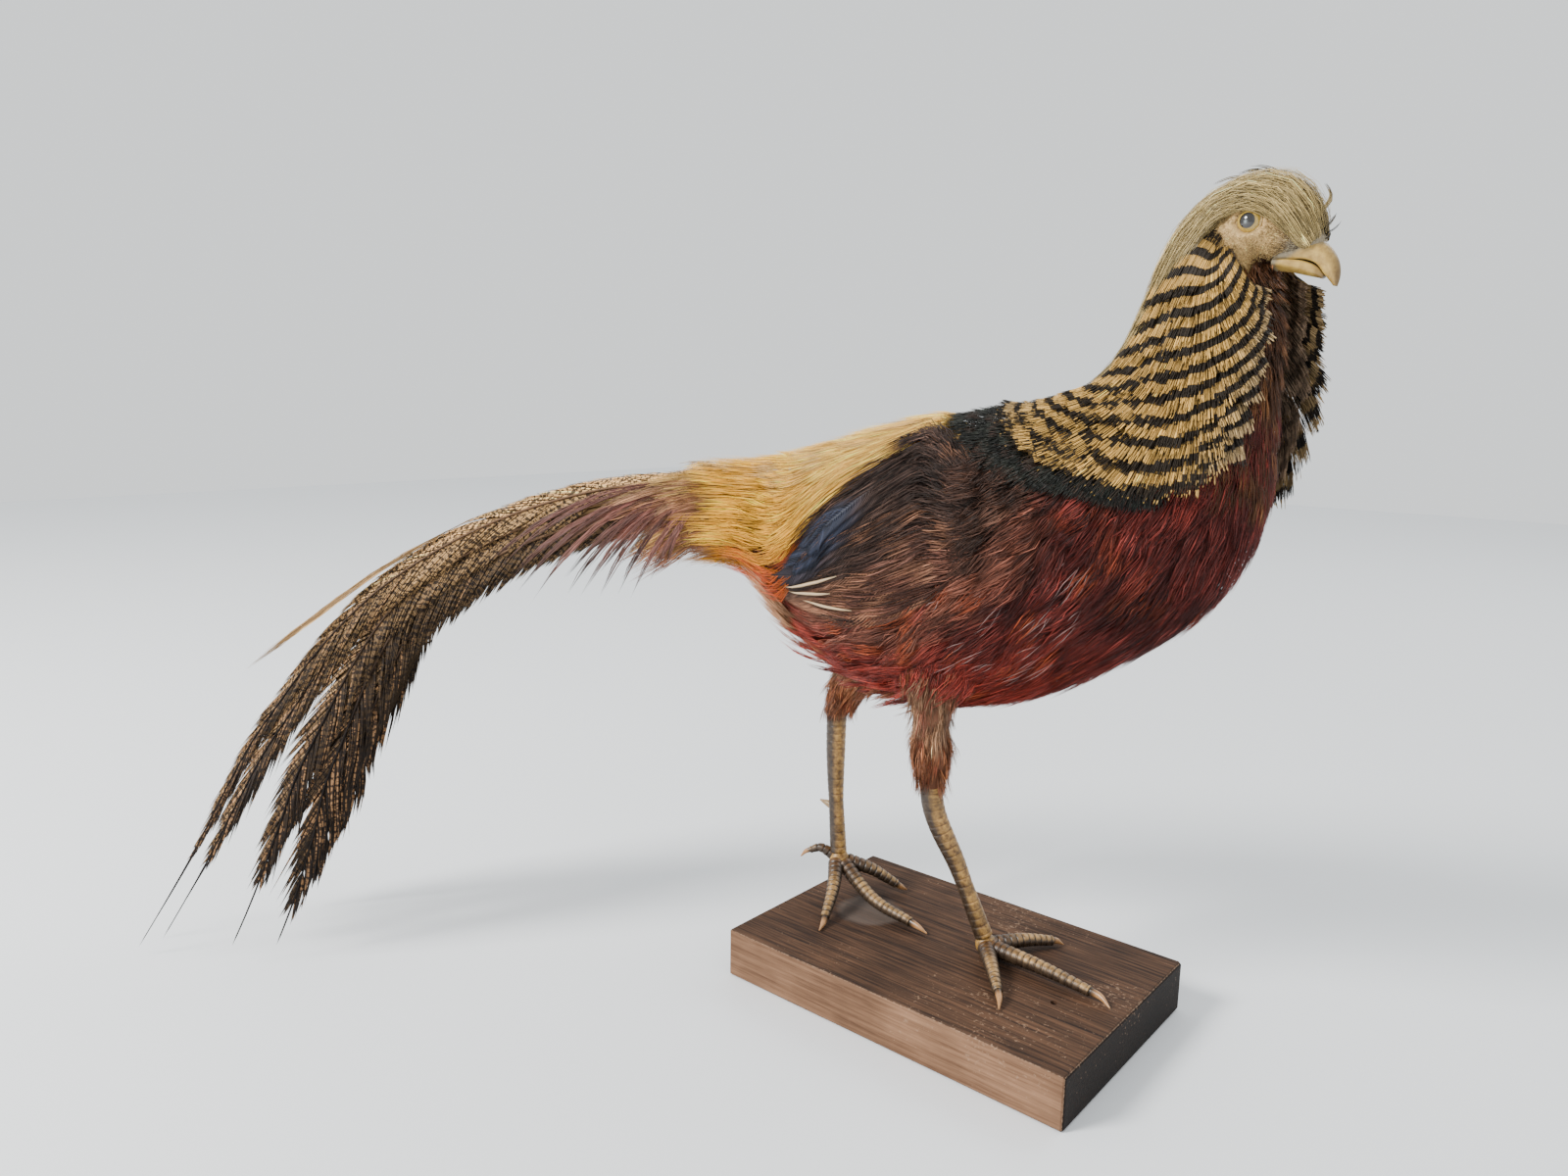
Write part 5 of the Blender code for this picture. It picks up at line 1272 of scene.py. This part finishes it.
skinMaterial, tree, shader = newMaterial("skin", skin["roughness"])
noise = noiseNode(tree, spotNode(tree), 1800.0, 5.0)
speckle(tree, shader, noise, ((0.3, (0.55, 0.5, 0.45)), (0.75, grey(1.0))))
bumpNode(tree, shader, noise, 0.35, 0.0002)
addSolid("skin", points, faces, skinMaterial, "torso", "torso", "neck", "head", uv=uv, tint=tint)

face = {"count": 4400, "half": 0.5, "width": 0.07, "from": 12.1, "to": 16.7,
        "angle": (0.75, 2.62), "eyeClear": 6.4, "bristle": (0.035, 0.022, 0.014)}
n = face["count"]
q = dice.uniform(qAt(face["from"]), qAt(face["to"]), n)
angle = dice.uniform(*face["angle"], n) * np.sign(dice.uniform(-1, 1, n))
spots = bodyPoint(q, angle, 0.0)
keep = np.ones(n, bool)
for side in (1, -1):
    keep &= np.linalg.norm(spots - eyeAxis(side)[0], axis=1) > face["eyeClear"]
q, angle = q[keep], angle[keep]
n = len(q)
# the lores and the corner of the mouth carry dark bristles, the cheek a pale stubble
lore = ease(qAt(15.2) - q, 4.0, -4.0) * ease(np.abs(angle), 1.25, 1.6)
heading = dice.normal(0, 0.3, n)
long = dice.uniform(0.9, 1.9, n) * (1 + 0.9 * lore)
path = bodyPath(q, angle, heading, long, rising(n, -0.4, 0.4))
tone = varied(colours["face"], 0.32, n, -0.05)
tone = blendColours(tone, colours["faceGrey"], 0.85 * ease(q, qAt(15.8), qAt(16.3)))
tone = blendColours(tone, face["bristle"], 0.85 * (dice.random(n) < 0.12 + 0.4 * lore))
batch = barbs(path, face["half"], 2, face["width"], tone, bodyUv((q, angle)), start=0.3,
              lift=0.3, stations=3)
addPlumage("face_down", [batch], crestMaterial, "head")


def hornMaterial(name, light, dark, roughness=0.35):
    material, tree, shader = newMaterial(name, roughness)
    noise = noiseNode(tree, spotNode(tree), 420.0, 5.0, Roughness=0.6)
    speckle(tree, shader, noise, ((0.32, dark), (0.62, light)))
    bumpNode(tree, shader, noise, 0.35, 0.0004)
    return material


bill = {
    # forward and up along the middle, tilt in degrees, half-width and height
    "upper": ((155.0, 353.6, -28.0, 8.0, 5.6), (161.2, 352.0, -43.0, 6.8, 5.2),
              (167.4, 349.3, -57.0, 5.2, 3.8), (171.2, 345.4, -84.0, 4.0, 3.1),
              (173.2, 340.6, -92.0, 2.6, 2.1), (174.2, 336.6, -102.0, 0.8, 0.6)),
    "lower": ((151.5, 346.5, -8.0, 6.7, 2.6), (158.2, 345.1, -12.0, 5.8, 2.3),
              (163.4, 343.6, -20.0, 4.6, 2.2), (167.2, 342.0, -30.0, 3.2, 1.7),
              (169.7, 340.2, -38.0, 1.6, 0.7)),
    "steps": 34, "around": 40,
    "cere": (0.25, 0.205, 0.135), "horn": (0.48, 0.315, 0.085),
    # outline is partly the horn's own brown and partly painted shade along the culmen and tip
    "outline": (0.09, 0.045, 0.018), "mouth": (0.02, 0.012, 0.01),
}
billMaterial = hornMaterial("horn", (1.0, 0.98, 0.92), (0.62, 0.55, 0.45))


def billHalf(name):
    isUpper = name == "upper"
    up = 1 if isUpper else -1
    fine = smoothLine(bill[name], bill["steps"], columns=2)
    s, z, tilt, wide, deep = (fine[:, k, None] for k in range(5))
    tilt = np.radians(tilt)
    turn = circle(bill["around"])
    rise = up * np.cos(turn)
    # the side towards the mouth is hollow
    dip = 4.6 * rise + 4.3 * rise ** 2 if isUpper else 2.4 * rise + 1.0 * rise ** 2
    height = up * deep * np.where(rise > 0, rise * (1 + 0.1 * rise ** 8), dip)
    rings = bent(s - np.sin(tilt) * height, -wide * np.sin(turn), z + np.cos(tilt) * height)
    points, faces = closedRings(rings)
    along = np.linspace(0, 1, bill["steps"])[:, None]
    cereEnd = 0.30 + 0.12 * rise if isUpper else 0.1
    tint = blendColours(bill["cere"], bill["horn"], ease(along, cereEnd - 0.05, cereEnd + 0.05))
    # partly the horn's brown, partly painted shade: darker along the culmen and at the tip
    edge = ease(along, 0.7, 1.0)
    if isUpper:
        edge = ease(rise, -0.1, 0.9) * ease(along, 0.3, 0.9) + 0.5 * ease(along, 0.75, 1.0)
    tint = blendColours(tint, bill["outline"], 0.75 * np.minimum(edge, 1))
    # painted shade: the sides that face the gap between the two halves are near black
    tint = blendColours(tint, bill["mouth"], ease(-rise, 0.5, 0.68) + 0 * along)
    addSolid("bill_" + name + "_horn", points, faces, billMaterial, "bill_" + name,
             "bill_" + name, tint=capped(tint))


for name in ("upper", "lower"):
    billHalf(name)

eyes = {
    "radius": 5.0, "rings": 44, "around": 48,
    "pupil": (0.010, 0.008, 0.007), "iris": (0.50, 0.34, 0.07), "rim": (0.06, 0.03, 0.01),
    # cloud is a painted reflection, a pale spot on the pupil
    "cloud": (0.42, 0.50, 0.52),
    "lidAround": 56, "lidSides": 12, "lidRadius": 4.75, "lidThick": 0.68, "lidOut": 1.95,
    "lidLight": (0.46, 0.30, 0.10), "lidDark": (0.13, 0.08, 0.03),
}
eyeMaterial, tree, shader = newMaterial("eye", 0.06)
noise = noiseNode(tree, spotNode(tree), 1500.0, 3.0)
speckle(tree, shader, noise, ((0.3, (0.6, 0.55, 0.5)), (0.7, grey(1.0))))
shader.inputs["Coat Weight"].default_value = 0.8
lidMaterial, tree, shader = newMaterial("lid", 0.6)
noise = noiseNode(tree, spotNode(tree), 1400.0, 4.0)
tree.links.new(rampNode(tree, ((0.3, eyes["lidDark"]), (0.7, eyes["lidLight"])), noise),
               shader.inputs["Base Color"])
bumpNode(tree, shader, noise, 0.8, 0.0004)


def spokesRound(axis, turn):
    first = unit(np.cross(axis, (0, 0, 1.0)))
    second = np.cross(axis, first)
    return np.cos(turn)[:, None] * first + np.sin(turn)[:, None] * second


def eyeBall(side, label):
    centre, axis = eyeAxis(side)
    polar = np.linspace(0.02, math.pi - 0.02, eyes["rings"])
    turn = circle(eyes["around"])
    outward = np.sin(polar)[:, None, None] * spokesRound(axis, turn)
    rings = centre + eyes["radius"] * (np.cos(polar)[:, None, None] * axis + outward)
    points, faces = closedRings(rings)
    tint = blendColours(eyes["pupil"], eyes["iris"], ease(polar, 0.60, 0.68))
    tint = blendColours(tint, eyes["rim"], ease(polar, 1.02, 1.12))
    # painted reflection: a pale spot on the pupil
    across = polar[:, None] * np.cos(turn - 0.9) - 0.12
    upward = polar[:, None] * np.sin(turn - 0.9)
    cloud = np.exp(-(across ** 2 + upward ** 2) / 0.014)
    tint = blendColours(tint[:, None], eyes["cloud"], 0.7 * cloud)
    addSolid("eye_ball_" + label, points, faces, eyeMaterial, "eye_" + label, "eye_" + label,
             tint=capped(tint))


def eyeLid(side, label):
    centre, axis = eyeAxis(side)
    turn = circle(eyes["lidAround"])
    thick = eyes["lidThick"] * (1 + 0.12 * np.sin(turn * 9) + 0.08 * np.sin(turn * 17 + 1))
    thick = thick[:, None, None]
    sides = circle(eyes["lidSides"])[:, None]
    spokes = spokesRound(axis, turn)[:, None] * (eyes["lidRadius"] + thick * np.cos(sides))
    rings = centre + axis * eyes["lidOut"] + spokes + axis * (thick * np.sin(sides))
    addSolid("lid_" + label, rings.reshape(-1, 3), ringQuads(*rings.shape[:2], closed=True),
             lidMaterial, "head")


for side, label in ((-1, "right"), (1, "left")):
    eyeBall(side, label)
    eyeLid(side, label)

legs = {
    # x, y and z down the middle, half-length and half-width
    "thighs": {
        "right": ((-4.0, -14.0, 190.0, 16.5, 12.0), (-5.0, -16.0, 160.0, 12.5, 11.5),
                  (-6.0, -16.5, 142.0, 9.6, 9.4), (-6.5, -14.5, 124.0, 8.6, 8.4),
                  (-7.3, -12.5, 108.5, 5.8, 5.6)),
        "left": ((-58.0, 10.0, 190.0, 19.0, 11.0), (-67.0, 14.0, 165.0, 17.0, 12.5),
                 (-74.0, 16.5, 147.0, 14.0, 12.0), (-79.5, 14.0, 135.0, 9.8, 9.3),
                 (-83.0, 12.3, 124.5, 6.4, 6.2)),
    },
    "thighSteps": 40, "thighAround": 48, "plumes": 360,
    # height of the foot of the locks over the thigh, their length and number, share of dark ones
    "hem": {"right": (168.0, 15.0, 160, 0.3), "left": (166.0, 12.0, 130, 0.75)},
    "shanks": {
        "right": ((-7.6, -12.0, 111.0), (-7.0, -11.3, 102.0), (4.2, -3.0, 68.0),
                  (16.6, 2.7, 35.0)),
        "left": ((-83.6, 12.1, 131.2), (-83.6, 11.8, 122.0), (-81.8, 10.0, 88.0),
                 (-78.0, 9.0, 48.6)),
    },
    "shankRadii": (5.4, 5.0, 3.9, 4.4),
    "feet": {"right": (18.2, 3.0, 30.7), "left": (-77.2, 8.8, 44.8)}, "footRadius": 5.3,
    # three points along a toe and the tip of its claw
    "toes": {
        "right": {
            "inner": ((19.5, 4.5, 30.2), (30.5, 19.5, 30.8), (38.6, 31.6, 28.6),
                      (42.7, 36.4, 25.5)),
            "middle": ((20.5, 3.0, 30.2), (48.7, 1.6, 30.2), (73.2, 0.4, 28.4),
                       (84.7, -3.2, 25.5)),
            "outer": ((19.5, 0.5, 30.2), (32.3, -15.5, 30.2), (42.0, -27.6, 28.3),
                      (48.1, -37.0, 25.5)),
            "hind": ((16.0, 6.0, 33.5), (10.0, 11.5, 34.0), (6.5, 14.5, 32.0),
                     (3.2, 17.0, 27.8)),
        },
        "left": {
            "inner": ((-77.0, 6.0, 43.5), (-66.5, -10.0, 36.0), (-60.0, -24.6, 28.6),
                      (-56.1, -34.1, 25.5)),
            "middle": ((-74.0, 8.5, 43.0), (-50.0, 3.6, 31.5), (-24.5, 0.9, 28.3),
                       (-13.8, -0.1, 25.5)),
            "outer": ((-74.5, 12.0, 43.2), (-64.0, 20.0, 39.0), (-53.0, 29.0, 30.5),
                      (-49.5, 34.5, 25.6)),
            "hind": ((-79.5, 7.5, 46.0), (-87.0, 4.0, 49.5), (-91.5, 1.8, 47.6),
                     (-96.4, -0.6, 42.5)),
        },
    },
    "toeRadii": (4.0, 3.2, 2.3), "clawRadii": (2.1, 1.5), "clawTip": 0.3, "hindShare": 0.75,
    "clawSteps": 26, "clawAround": 18,
    "spurs": {"right": ((3.0, 1.5, 62.0), (-7.0, 5.5, 64.0)),
              "left": ((-81.5, 9.4, 73.0), (-90.5, 8.0, 75.0))},
    "spurRadii": (2.8, 1.8, 0.4), "spurSteps": 22, "spurAround": 18,
    "shaded": (0.050, 0.033, 0.021), "clawRoot": (0.025, 0.018, 0.013),
    "claw": (0.44, 0.24, 0.11), "spur": (0.30, 0.21, 0.12),
}
# rings of scutes: how far apart and how deep, their colours, and the side that is lit
scutes = {
    "shank": {"steps": 190, "around": 28, "pitch": 4.2, "depth": 0.09, "edge": 0.16,
              "scale": (0.50, 0.30, 0.085), "crack": (0.20, 0.105, 0.038),
              "root": (1.0, 1.0, 1.0), "lit": (1.0, 0.1, 0.1), "litFrom": (0.05, 0.7)},
    "toe": {"steps": 130, "around": 24, "pitch": 3.2, "depth": 0.22, "edge": 0.36,
            "scale": (0.50, 0.315, 0.125), "crack": (0.014, 0.010, 0.007),
            "root": (0.30, 0.24, 0.20), "lit": (0.1, -0.3, 1.0), "litFrom": (0.42, 0.88)},
}
shankMaterial = hornMaterial("leg", (1.0, 0.93, 0.8), (0.24, 0.17, 0.12), 0.42)
toeMaterial = hornMaterial("toe", (1.0, 0.92, 0.8), (0.3, 0.24, 0.18), 0.42)
clawMaterial = hornMaterial("claw", (1.0, 0.95, 0.85), (0.7, 0.62, 0.5), 0.32)


def limbRings(path, radii, steps, around, flat=1.0):
    # the middles of the rings, and what leads from them to the points of each ring
    centres = smoothLine(path, steps)
    ahead = unit(np.gradient(centres, axis=0))
    across = unit(np.cross(ahead, (0.31, 0.22, 0.92)))
    other = np.cross(ahead, across)
    size = np.interp(np.linspace(0, 1, steps), np.linspace(0, 1, len(radii)), radii)
    turn = circle(around)[:, None]
    spokes = np.cos(turn) * across[:, None] * flat + np.sin(turn) * other[:, None]
    return centres[:, None], size[:, None, None] * spokes


def scuted(name, slot, path, radii, look, material, *hides):
    centres, spokes = limbRings(path, radii, look["steps"], look["around"])
    length = runLengths(centres[:, 0])
    phase = (length / look["pitch"]) % 1.0
    plate = ease(phase, 0.04, look["edge"]) * (1 - 0.35 * phase)
    facing = np.abs(np.cos(circle(look["around"]) / 2 + 0.4))
    swell = 1.0 + look["depth"] * (plate[:, None] - 0.5) * (0.45 + 0.55 * facing)
    rings = centres + spokes * swell[..., None]
    rings[..., 2] = np.maximum(rings[..., 2], 25.15)
    points, faces = closedRings(rings)
    worn = 0.85 + 0.2 * np.sin(length * 0.31 + 2.0 * np.sin(length * 0.11))
    tint = blendColours(look["crack"], look["scale"], plate * 0.95 + 0.05) * worn[:, None]
    tint = tint * blendColours(look["root"], (1.0, 1.0, 1.0), ease(length, 6, 20))
    light = ease(unit(rings - centres) @ unit(np.array(look["lit"])), *look["litFrom"])
    tint = blendColours(legs["shaded"], tint[:, None], light)
    addSolid(name, points, faces, material, slot, *hides, tint=capped(tint))


def thighLine(side):
    rows = np.array(legs["thighs"][side])
    below = rows[0, 2] - rows[:, 2]
    return smoothTable(rows, below, np.linspace(0, below[-1], legs["thighSteps"]))


def thighSkin(side):
    x, y, z, long, wide = (column[:, None] for column in thighLine(side).T)
    turn = circle(legs["thighAround"])
    rings = np.stack(np.broadcast_arrays(x + (long - 1.0) * np.cos(turn),
                                         y + (wide - 1.0) * np.sin(turn), z), -1)
    points, faces = closedRings(rings)
    # painted shade: the skin under the thigh plumes is darker than the plumes
    tint = np.repeat(np.array([colours["thigh"]]) * 0.7, len(points), 0)
    down, turn = np.meshgrid(np.linspace(0, 1, len(rings)), turn, indexing="ij")
    uv = np.stack([np.append(turn, (0, 0)) / 6.3, np.append(down, (0, 1))], 1)
    addSolid("thigh_skin_" + side, points, faces, skinMaterial, "thigh_" + side,
             "thigh_" + side, uv=uv, tint=tint)


def thighPlumes(side):
    n = legs["plumes"]
    down = 0.26 + 0.74 * dice.random(n)
    turn = dice.uniform(0, 2 * math.pi, n)
    u = np.linspace(0, 1, 7)[None]
    run = down[:, None] * 0.86 + 0.2 * u * dice.uniform(0.8, 1.3, (n, 1))
    x, y, z, long, wide = readRows(thighLine(side), run)
    z = z - np.maximum(run - 1, 0) * 70
    messy = np.where(dice.random(n) < 0.14, 2.2, 0.8)[:, None] * dice.uniform(0.5, 1.3, (n, 1))
    # slim at the bare middle, fluffed out again above the joint
    shrink = 2.0 * ease(run, 0.42, 0.55) * ease(run, 0.75, 0.64) + 1.2
    rise = 0.4 + 2.6 * u * messy - shrink
    swirl = turn[:, None] + 0.3 * np.sin(3 * turn + 9 * down)[:, None] * u
    points = np.stack([x + (long + rise) * np.cos(swirl), y + (wide + rise) * np.sin(swirl), z], -1)
    normals = unit(np.stack([np.cos(swirl), np.sin(swirl), np.full_like(swirl, 0.2)], -1))
    tone = blendColours(colours["thigh"], colours["downy"], ease(down, 0.72, 0.62))
    tone = varied(tone, 0.35, n)
    tone = blendColours(tone, colours["belly"], 0.5 * (dice.random(n) < 0.12))
    return barbs((points, normals), 2.4, 12, 0.16, tone, np.stack([turn / 6.3, down], 1),
                 start=0.5, lift=0.7, stations=3, shade=0.45, shape=(0.9, 1.0, 0.5), wild=0.15)


def thighHem(side):
    # belly locks that fall over the top of the thigh down to a ragged hem
    foot, drop, n, darkShare = legs["hem"][side]
    rows = np.array(legs["thighs"][side])
    x, y, _, long, wide = rows[0] * 0.35 + rows[1] * 0.65
    u = np.linspace(0, 1, 7)[None]
    turn = dice.uniform(0, 2 * math.pi, n)
    high = foot + dice.uniform(0.0, 16.0, n)
    out = 11.0 - 4.0 * dice.random(n) - 0.25 * (high - foot)
    fall = (drop + dice.uniform(-4.0, 5.0, n))[:, None] * u
    spread = out[:, None] * (1 - 0.75 * u) + 1.8 * np.sin(u * 3)
    spread = spread + dice.normal(0, 1.2, (n, 1)) * u
    sway = turn[:, None] + dice.normal(0, 0.25, (n, 1)) * u
    points = np.stack([x - 5.0 * u + (long + spread) * np.cos(sway),
                       y + (wide + 0.3 * spread) * np.sin(sway), high[:, None] - fall], -1)
    normals = unit(np.stack([np.cos(sway), np.sin(sway), np.full_like(sway, 0.5)], -1))
    tone = varied(colours["belly"], 0.35, n)
    tone = blendColours(tone, colours["thigh"], 0.9 * (dice.random(n) < darkShare))
    return barbs((points, normals), 3.2, 15, 0.17, tone,
                 np.stack([turn / 6.3, np.full(n, 0.1)], 1), start=0.45, end=(0.6, 1.0),
                 spread=(0.7, 1.0, 0.8, 0.2), stations=3, lift=0.7, shade=0.45,
                 shape=(0.9, 1.0, 0.5), wild=0.12)


def footPad(side):
    polar = np.linspace(0.05, math.pi - 0.05, 24)[:, None]
    turn = circle(32)
    ball = np.stack(np.broadcast_arrays(np.sin(polar) * np.cos(turn),
                                        np.sin(polar) * np.sin(turn), np.cos(polar)), -1)
    rings = np.array(legs["feet"][side]) + legs["footRadius"] * ball
    rings[..., 2] = np.maximum(rings[..., 2], 25.2)
    points, faces = closedRings(rings)
    tint = np.repeat(np.array([scutes["shank"]["scale"]]) * 0.8, len(points), 0)
    addSolid("foot_pad_" + side, points, faces, shankMaterial, "foot_" + side, "foot_" + side,
             tint=tint)


def claw(side, which, stops, share):
    fine = smoothLine(stops[:3], 20)
    ahead = unit(fine[-1] - fine[-2])
    start = fine[-1] - ahead * 1.0
    tip = np.array(stops[3]) + (0, 0, 0.6)
    middle = start + ahead * 0.45 * np.linalg.norm(tip - start)
    radii = [r * share for r in legs["clawRadii"]] + [legs["clawTip"]]
    steps, around = legs["clawSteps"], legs["clawAround"]
    centres, spokes = limbRings((start, middle, tip), radii, steps, around, flat=0.85)
    rings = centres + spokes
    rings[..., 2] = np.maximum(rings[..., 2], 25.1)
    points, faces = closedRings(rings)
    tint = blendColours(legs["clawRoot"], legs["claw"],
                        ease(np.linspace(0, 1, steps), 0.1, 0.45))
    name = "claw_" + side + "_" + which
    addSolid(name + "_horn", points, faces, clawMaterial, name, name,
             tint=capped(np.repeat(tint, around, 0)))


def toe(side, which, stops):
    share = legs["hindShare"] if which == "hind" else 1.0
    radii = [r * share for r in legs["toeRadii"]]
    scuted("toe_" + side + "_" + which, "foot_" + side, stops[:3], radii, scutes["toe"],
           toeMaterial)
    claw(side, which, stops, share)


def spur(side):
    root, tip = (np.array(p) for p in legs["spurs"][side])
    centres, spokes = limbRings((root, root * 0.4 + tip * 0.6, tip), legs["spurRadii"],
                                legs["spurSteps"], legs["spurAround"])
    points, faces = closedRings(centres + spokes)
    tint = np.repeat(np.array([legs["spur"]]), len(points), 0)
    addSolid("spur_" + side + "_horn", points, faces, clawMaterial, "spur_" + side,
             "spur_" + side, tint=tint)


for side in ("right", "left"):
    thighSkin(side)
    addPlumage("thigh_plumes_" + side, [thighPlumes(side), thighHem(side)], coatMaterial,
               "thigh_" + side)
    scuted("shank_scales_" + side, "shank_" + side, legs["shanks"][side], legs["shankRadii"],
           scutes["shank"], shankMaterial, "shank_" + side)
    footPad(side)
    for which, stops in legs["toes"][side].items():
        toe(side, which, stops)
    spur(side)

wood = {
    "light": (0.110, 0.056, 0.030), "dark": (0.017, 0.009, 0.006), "front": (0.25, 0.14, 0.080),
    # end darkens the block's right end as painted shade
    "wear": (0.30, 0.19, 0.12), "end": (0.13, 0.12, 0.115), "glue": (0.12, 0.095, 0.08),
    # where the sides, the ends and the top stand, in millimetres from the middle
    "edges": (91.75, 61.25, 24.25), "frontAt": -61.4, "endAt": 91.9,
    "bevel": 0.8, "film": (-0.052, 0.003, 0.025),
}
woodMaterial, tree, shader = newMaterial("wood", 0.72, 0.2)


def passed(value, limit):
    # crosses one half where a coordinate in metres passes a limit in millimetres
    return mathNode(tree, "MULTIPLY_ADD", value, 100.0, 0.5 - limit * 0.1)


spot = spotNode(tree)
x, y, z = partsNode(tree, spot)
grain = noiseNode(tree, stretchNode(tree, spot, (14.0, 420.0, 420.0)), 1.6, 8.0,
                  Roughness=0.65, Distortion=0.3)
cloud = noiseNode(tree, spot, 22.0, 4.0)
scuff = noiseNode(tree, spot, 620.0, 4.0, Roughness=0.6)
shade = rampNode(tree, ((0.36, wood["dark"]), (0.66, wood["light"])), grain)
front = rampNode(tree, ((0.32, wood["light"]), (0.62, wood["front"])), grain)
facing = rampNode(tree, ((0.49, grey(1.0)), (0.51, grey(0.0))), passed(y, wood["frontAt"]))
shade = mixNode(tree, facing, shade, front)
blotch = rampNode(tree, ((0.35, (0.62, 0.58, 0.55)), (0.65, (1.15, 1.12, 1.1))), cloud)
shade = mixNode(tree, 1.0, shade, blotch, "MULTIPLY")
# painted shade: the right end of the block is darkened
ending = rampNode(tree, ((0.49, grey(1.0)), (0.51, wood["end"])), passed(x, wood["endAt"]))
shade = mixNode(tree, 1.0, shade, ending, "MULTIPLY")
patches = mathNode(tree, "MULTIPLY", scuff, mathNode(tree, "ADD", cloud, 0.5))
patches = rampNode(tree, ((0.68, grey(0.0)), (0.75, grey(1.0))), patches)
shade = mixNode(tree, mathNode(tree, "MULTIPLY", patches, 0.6), shade, wood["wear"])
# edges rubbed pale: two of the three sides meet there
near = [mathNode(tree, "GREATER_THAN", mathNode(tree, "ABSOLUTE", value), limit * mm)
        for value, limit in zip((x, y, z), wood["edges"])]
near = mathNode(tree, "ADD", mathNode(tree, "ADD", near[0], near[1]), near[2])
rubbed = rampNode(tree, ((0.42, grey(0.0)), (0.6, grey(0.7))), scuff)
rubbed = mathNode(tree, "MULTIPLY", mathNode(tree, "GREATER_THAN", near, 1.5), rubbed)
shade = mixNode(tree, rubbed, shade, wood["wear"])
# a dull film of glue under the far foot
away = addNode(tree, "ShaderNodeVectorMath", {1: wood["film"]}, operation="DISTANCE")
tree.links.new(spot, away.inputs[0])
reach = mathNode(tree, "MULTIPLY_ADD", cloud, 0.03, away.outputs["Value"])
film = rampNode(tree, ((0.029, grey(0.55)), (0.031, grey(0.0))), reach)
shade = mixNode(tree, film, shade, wood["glue"])
tree.links.new(shade, shader.inputs["Base Color"])
bumpNode(tree, shader, grain, 0.45, 0.0004)
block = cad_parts["stand_base"]
for k in range(len(block.material_slots)):
    block.material_slots[k].material = woodMaterial
bevel = block.modifiers.new("bevel", "BEVEL")
bevel.width = wood["bevel"] * mm
bevel.segments = 3
bevel.limit_method = "ANGLE"

stage = {
    "floorSize": 6.0, "floor": (0.83, 0.85, 0.87), "background": (0.87, 0.90, 0.91),
    "strength": 1.28, "aim": (0.0, 0.0, 0.2),
    # where a lamp stands, how wide it is, its power and its colour
    "lamps": {"key": ((-0.9, -1.6, 1.45), 0.7, 78.0, (1.0, 0.985, 0.96)),
              "fill": ((1.6, -1.0, 0.8), 1.6, 2.0, (0.95, 0.97, 1.0)),
              "rim": ((0.4, 1.6, 1.6), 1.2, 10.0, (1.0, 1.0, 1.0))},
}
bpy.ops.object.select_all(action="DESELECT")
bpy.ops.mesh.primitive_plane_add(size=stage["floorSize"], location=(0, 0, 0))
floor = bpy.context.object
floor.name = "floor"
floorMaterial, tree, shader = newMaterial("floor", 0.6)
shader.inputs["Base Color"].default_value = (*stage["floor"], 1)
floor.data.materials.append(floorMaterial)


def addLamp(name, spot, size, power, colour):
    lamp = bpy.data.objects.new(name, bpy.data.lights.new(name, "AREA"))
    bpy.context.scene.collection.objects.link(lamp)
    lamp.data.shape = "DISK"
    lamp.data.size = size
    lamp.data.energy = power
    lamp.data.color = colour
    lamp.location = spot
    aim = Vector(stage["aim"]) - Vector(spot)
    lamp.rotation_euler = aim.to_track_quat("-Z", "Y").to_euler()


for name, look in stage["lamps"].items():
    addLamp(name, *look)
world = bpy.data.worlds.new("world")
bpy.context.scene.world = world
world.use_nodes = True
background = world.node_tree.nodes["Background"]
background.inputs["Color"].default_value = (*stage["background"], 1.0)
background.inputs["Strength"].default_value = stage["strength"]
print("stage ready")
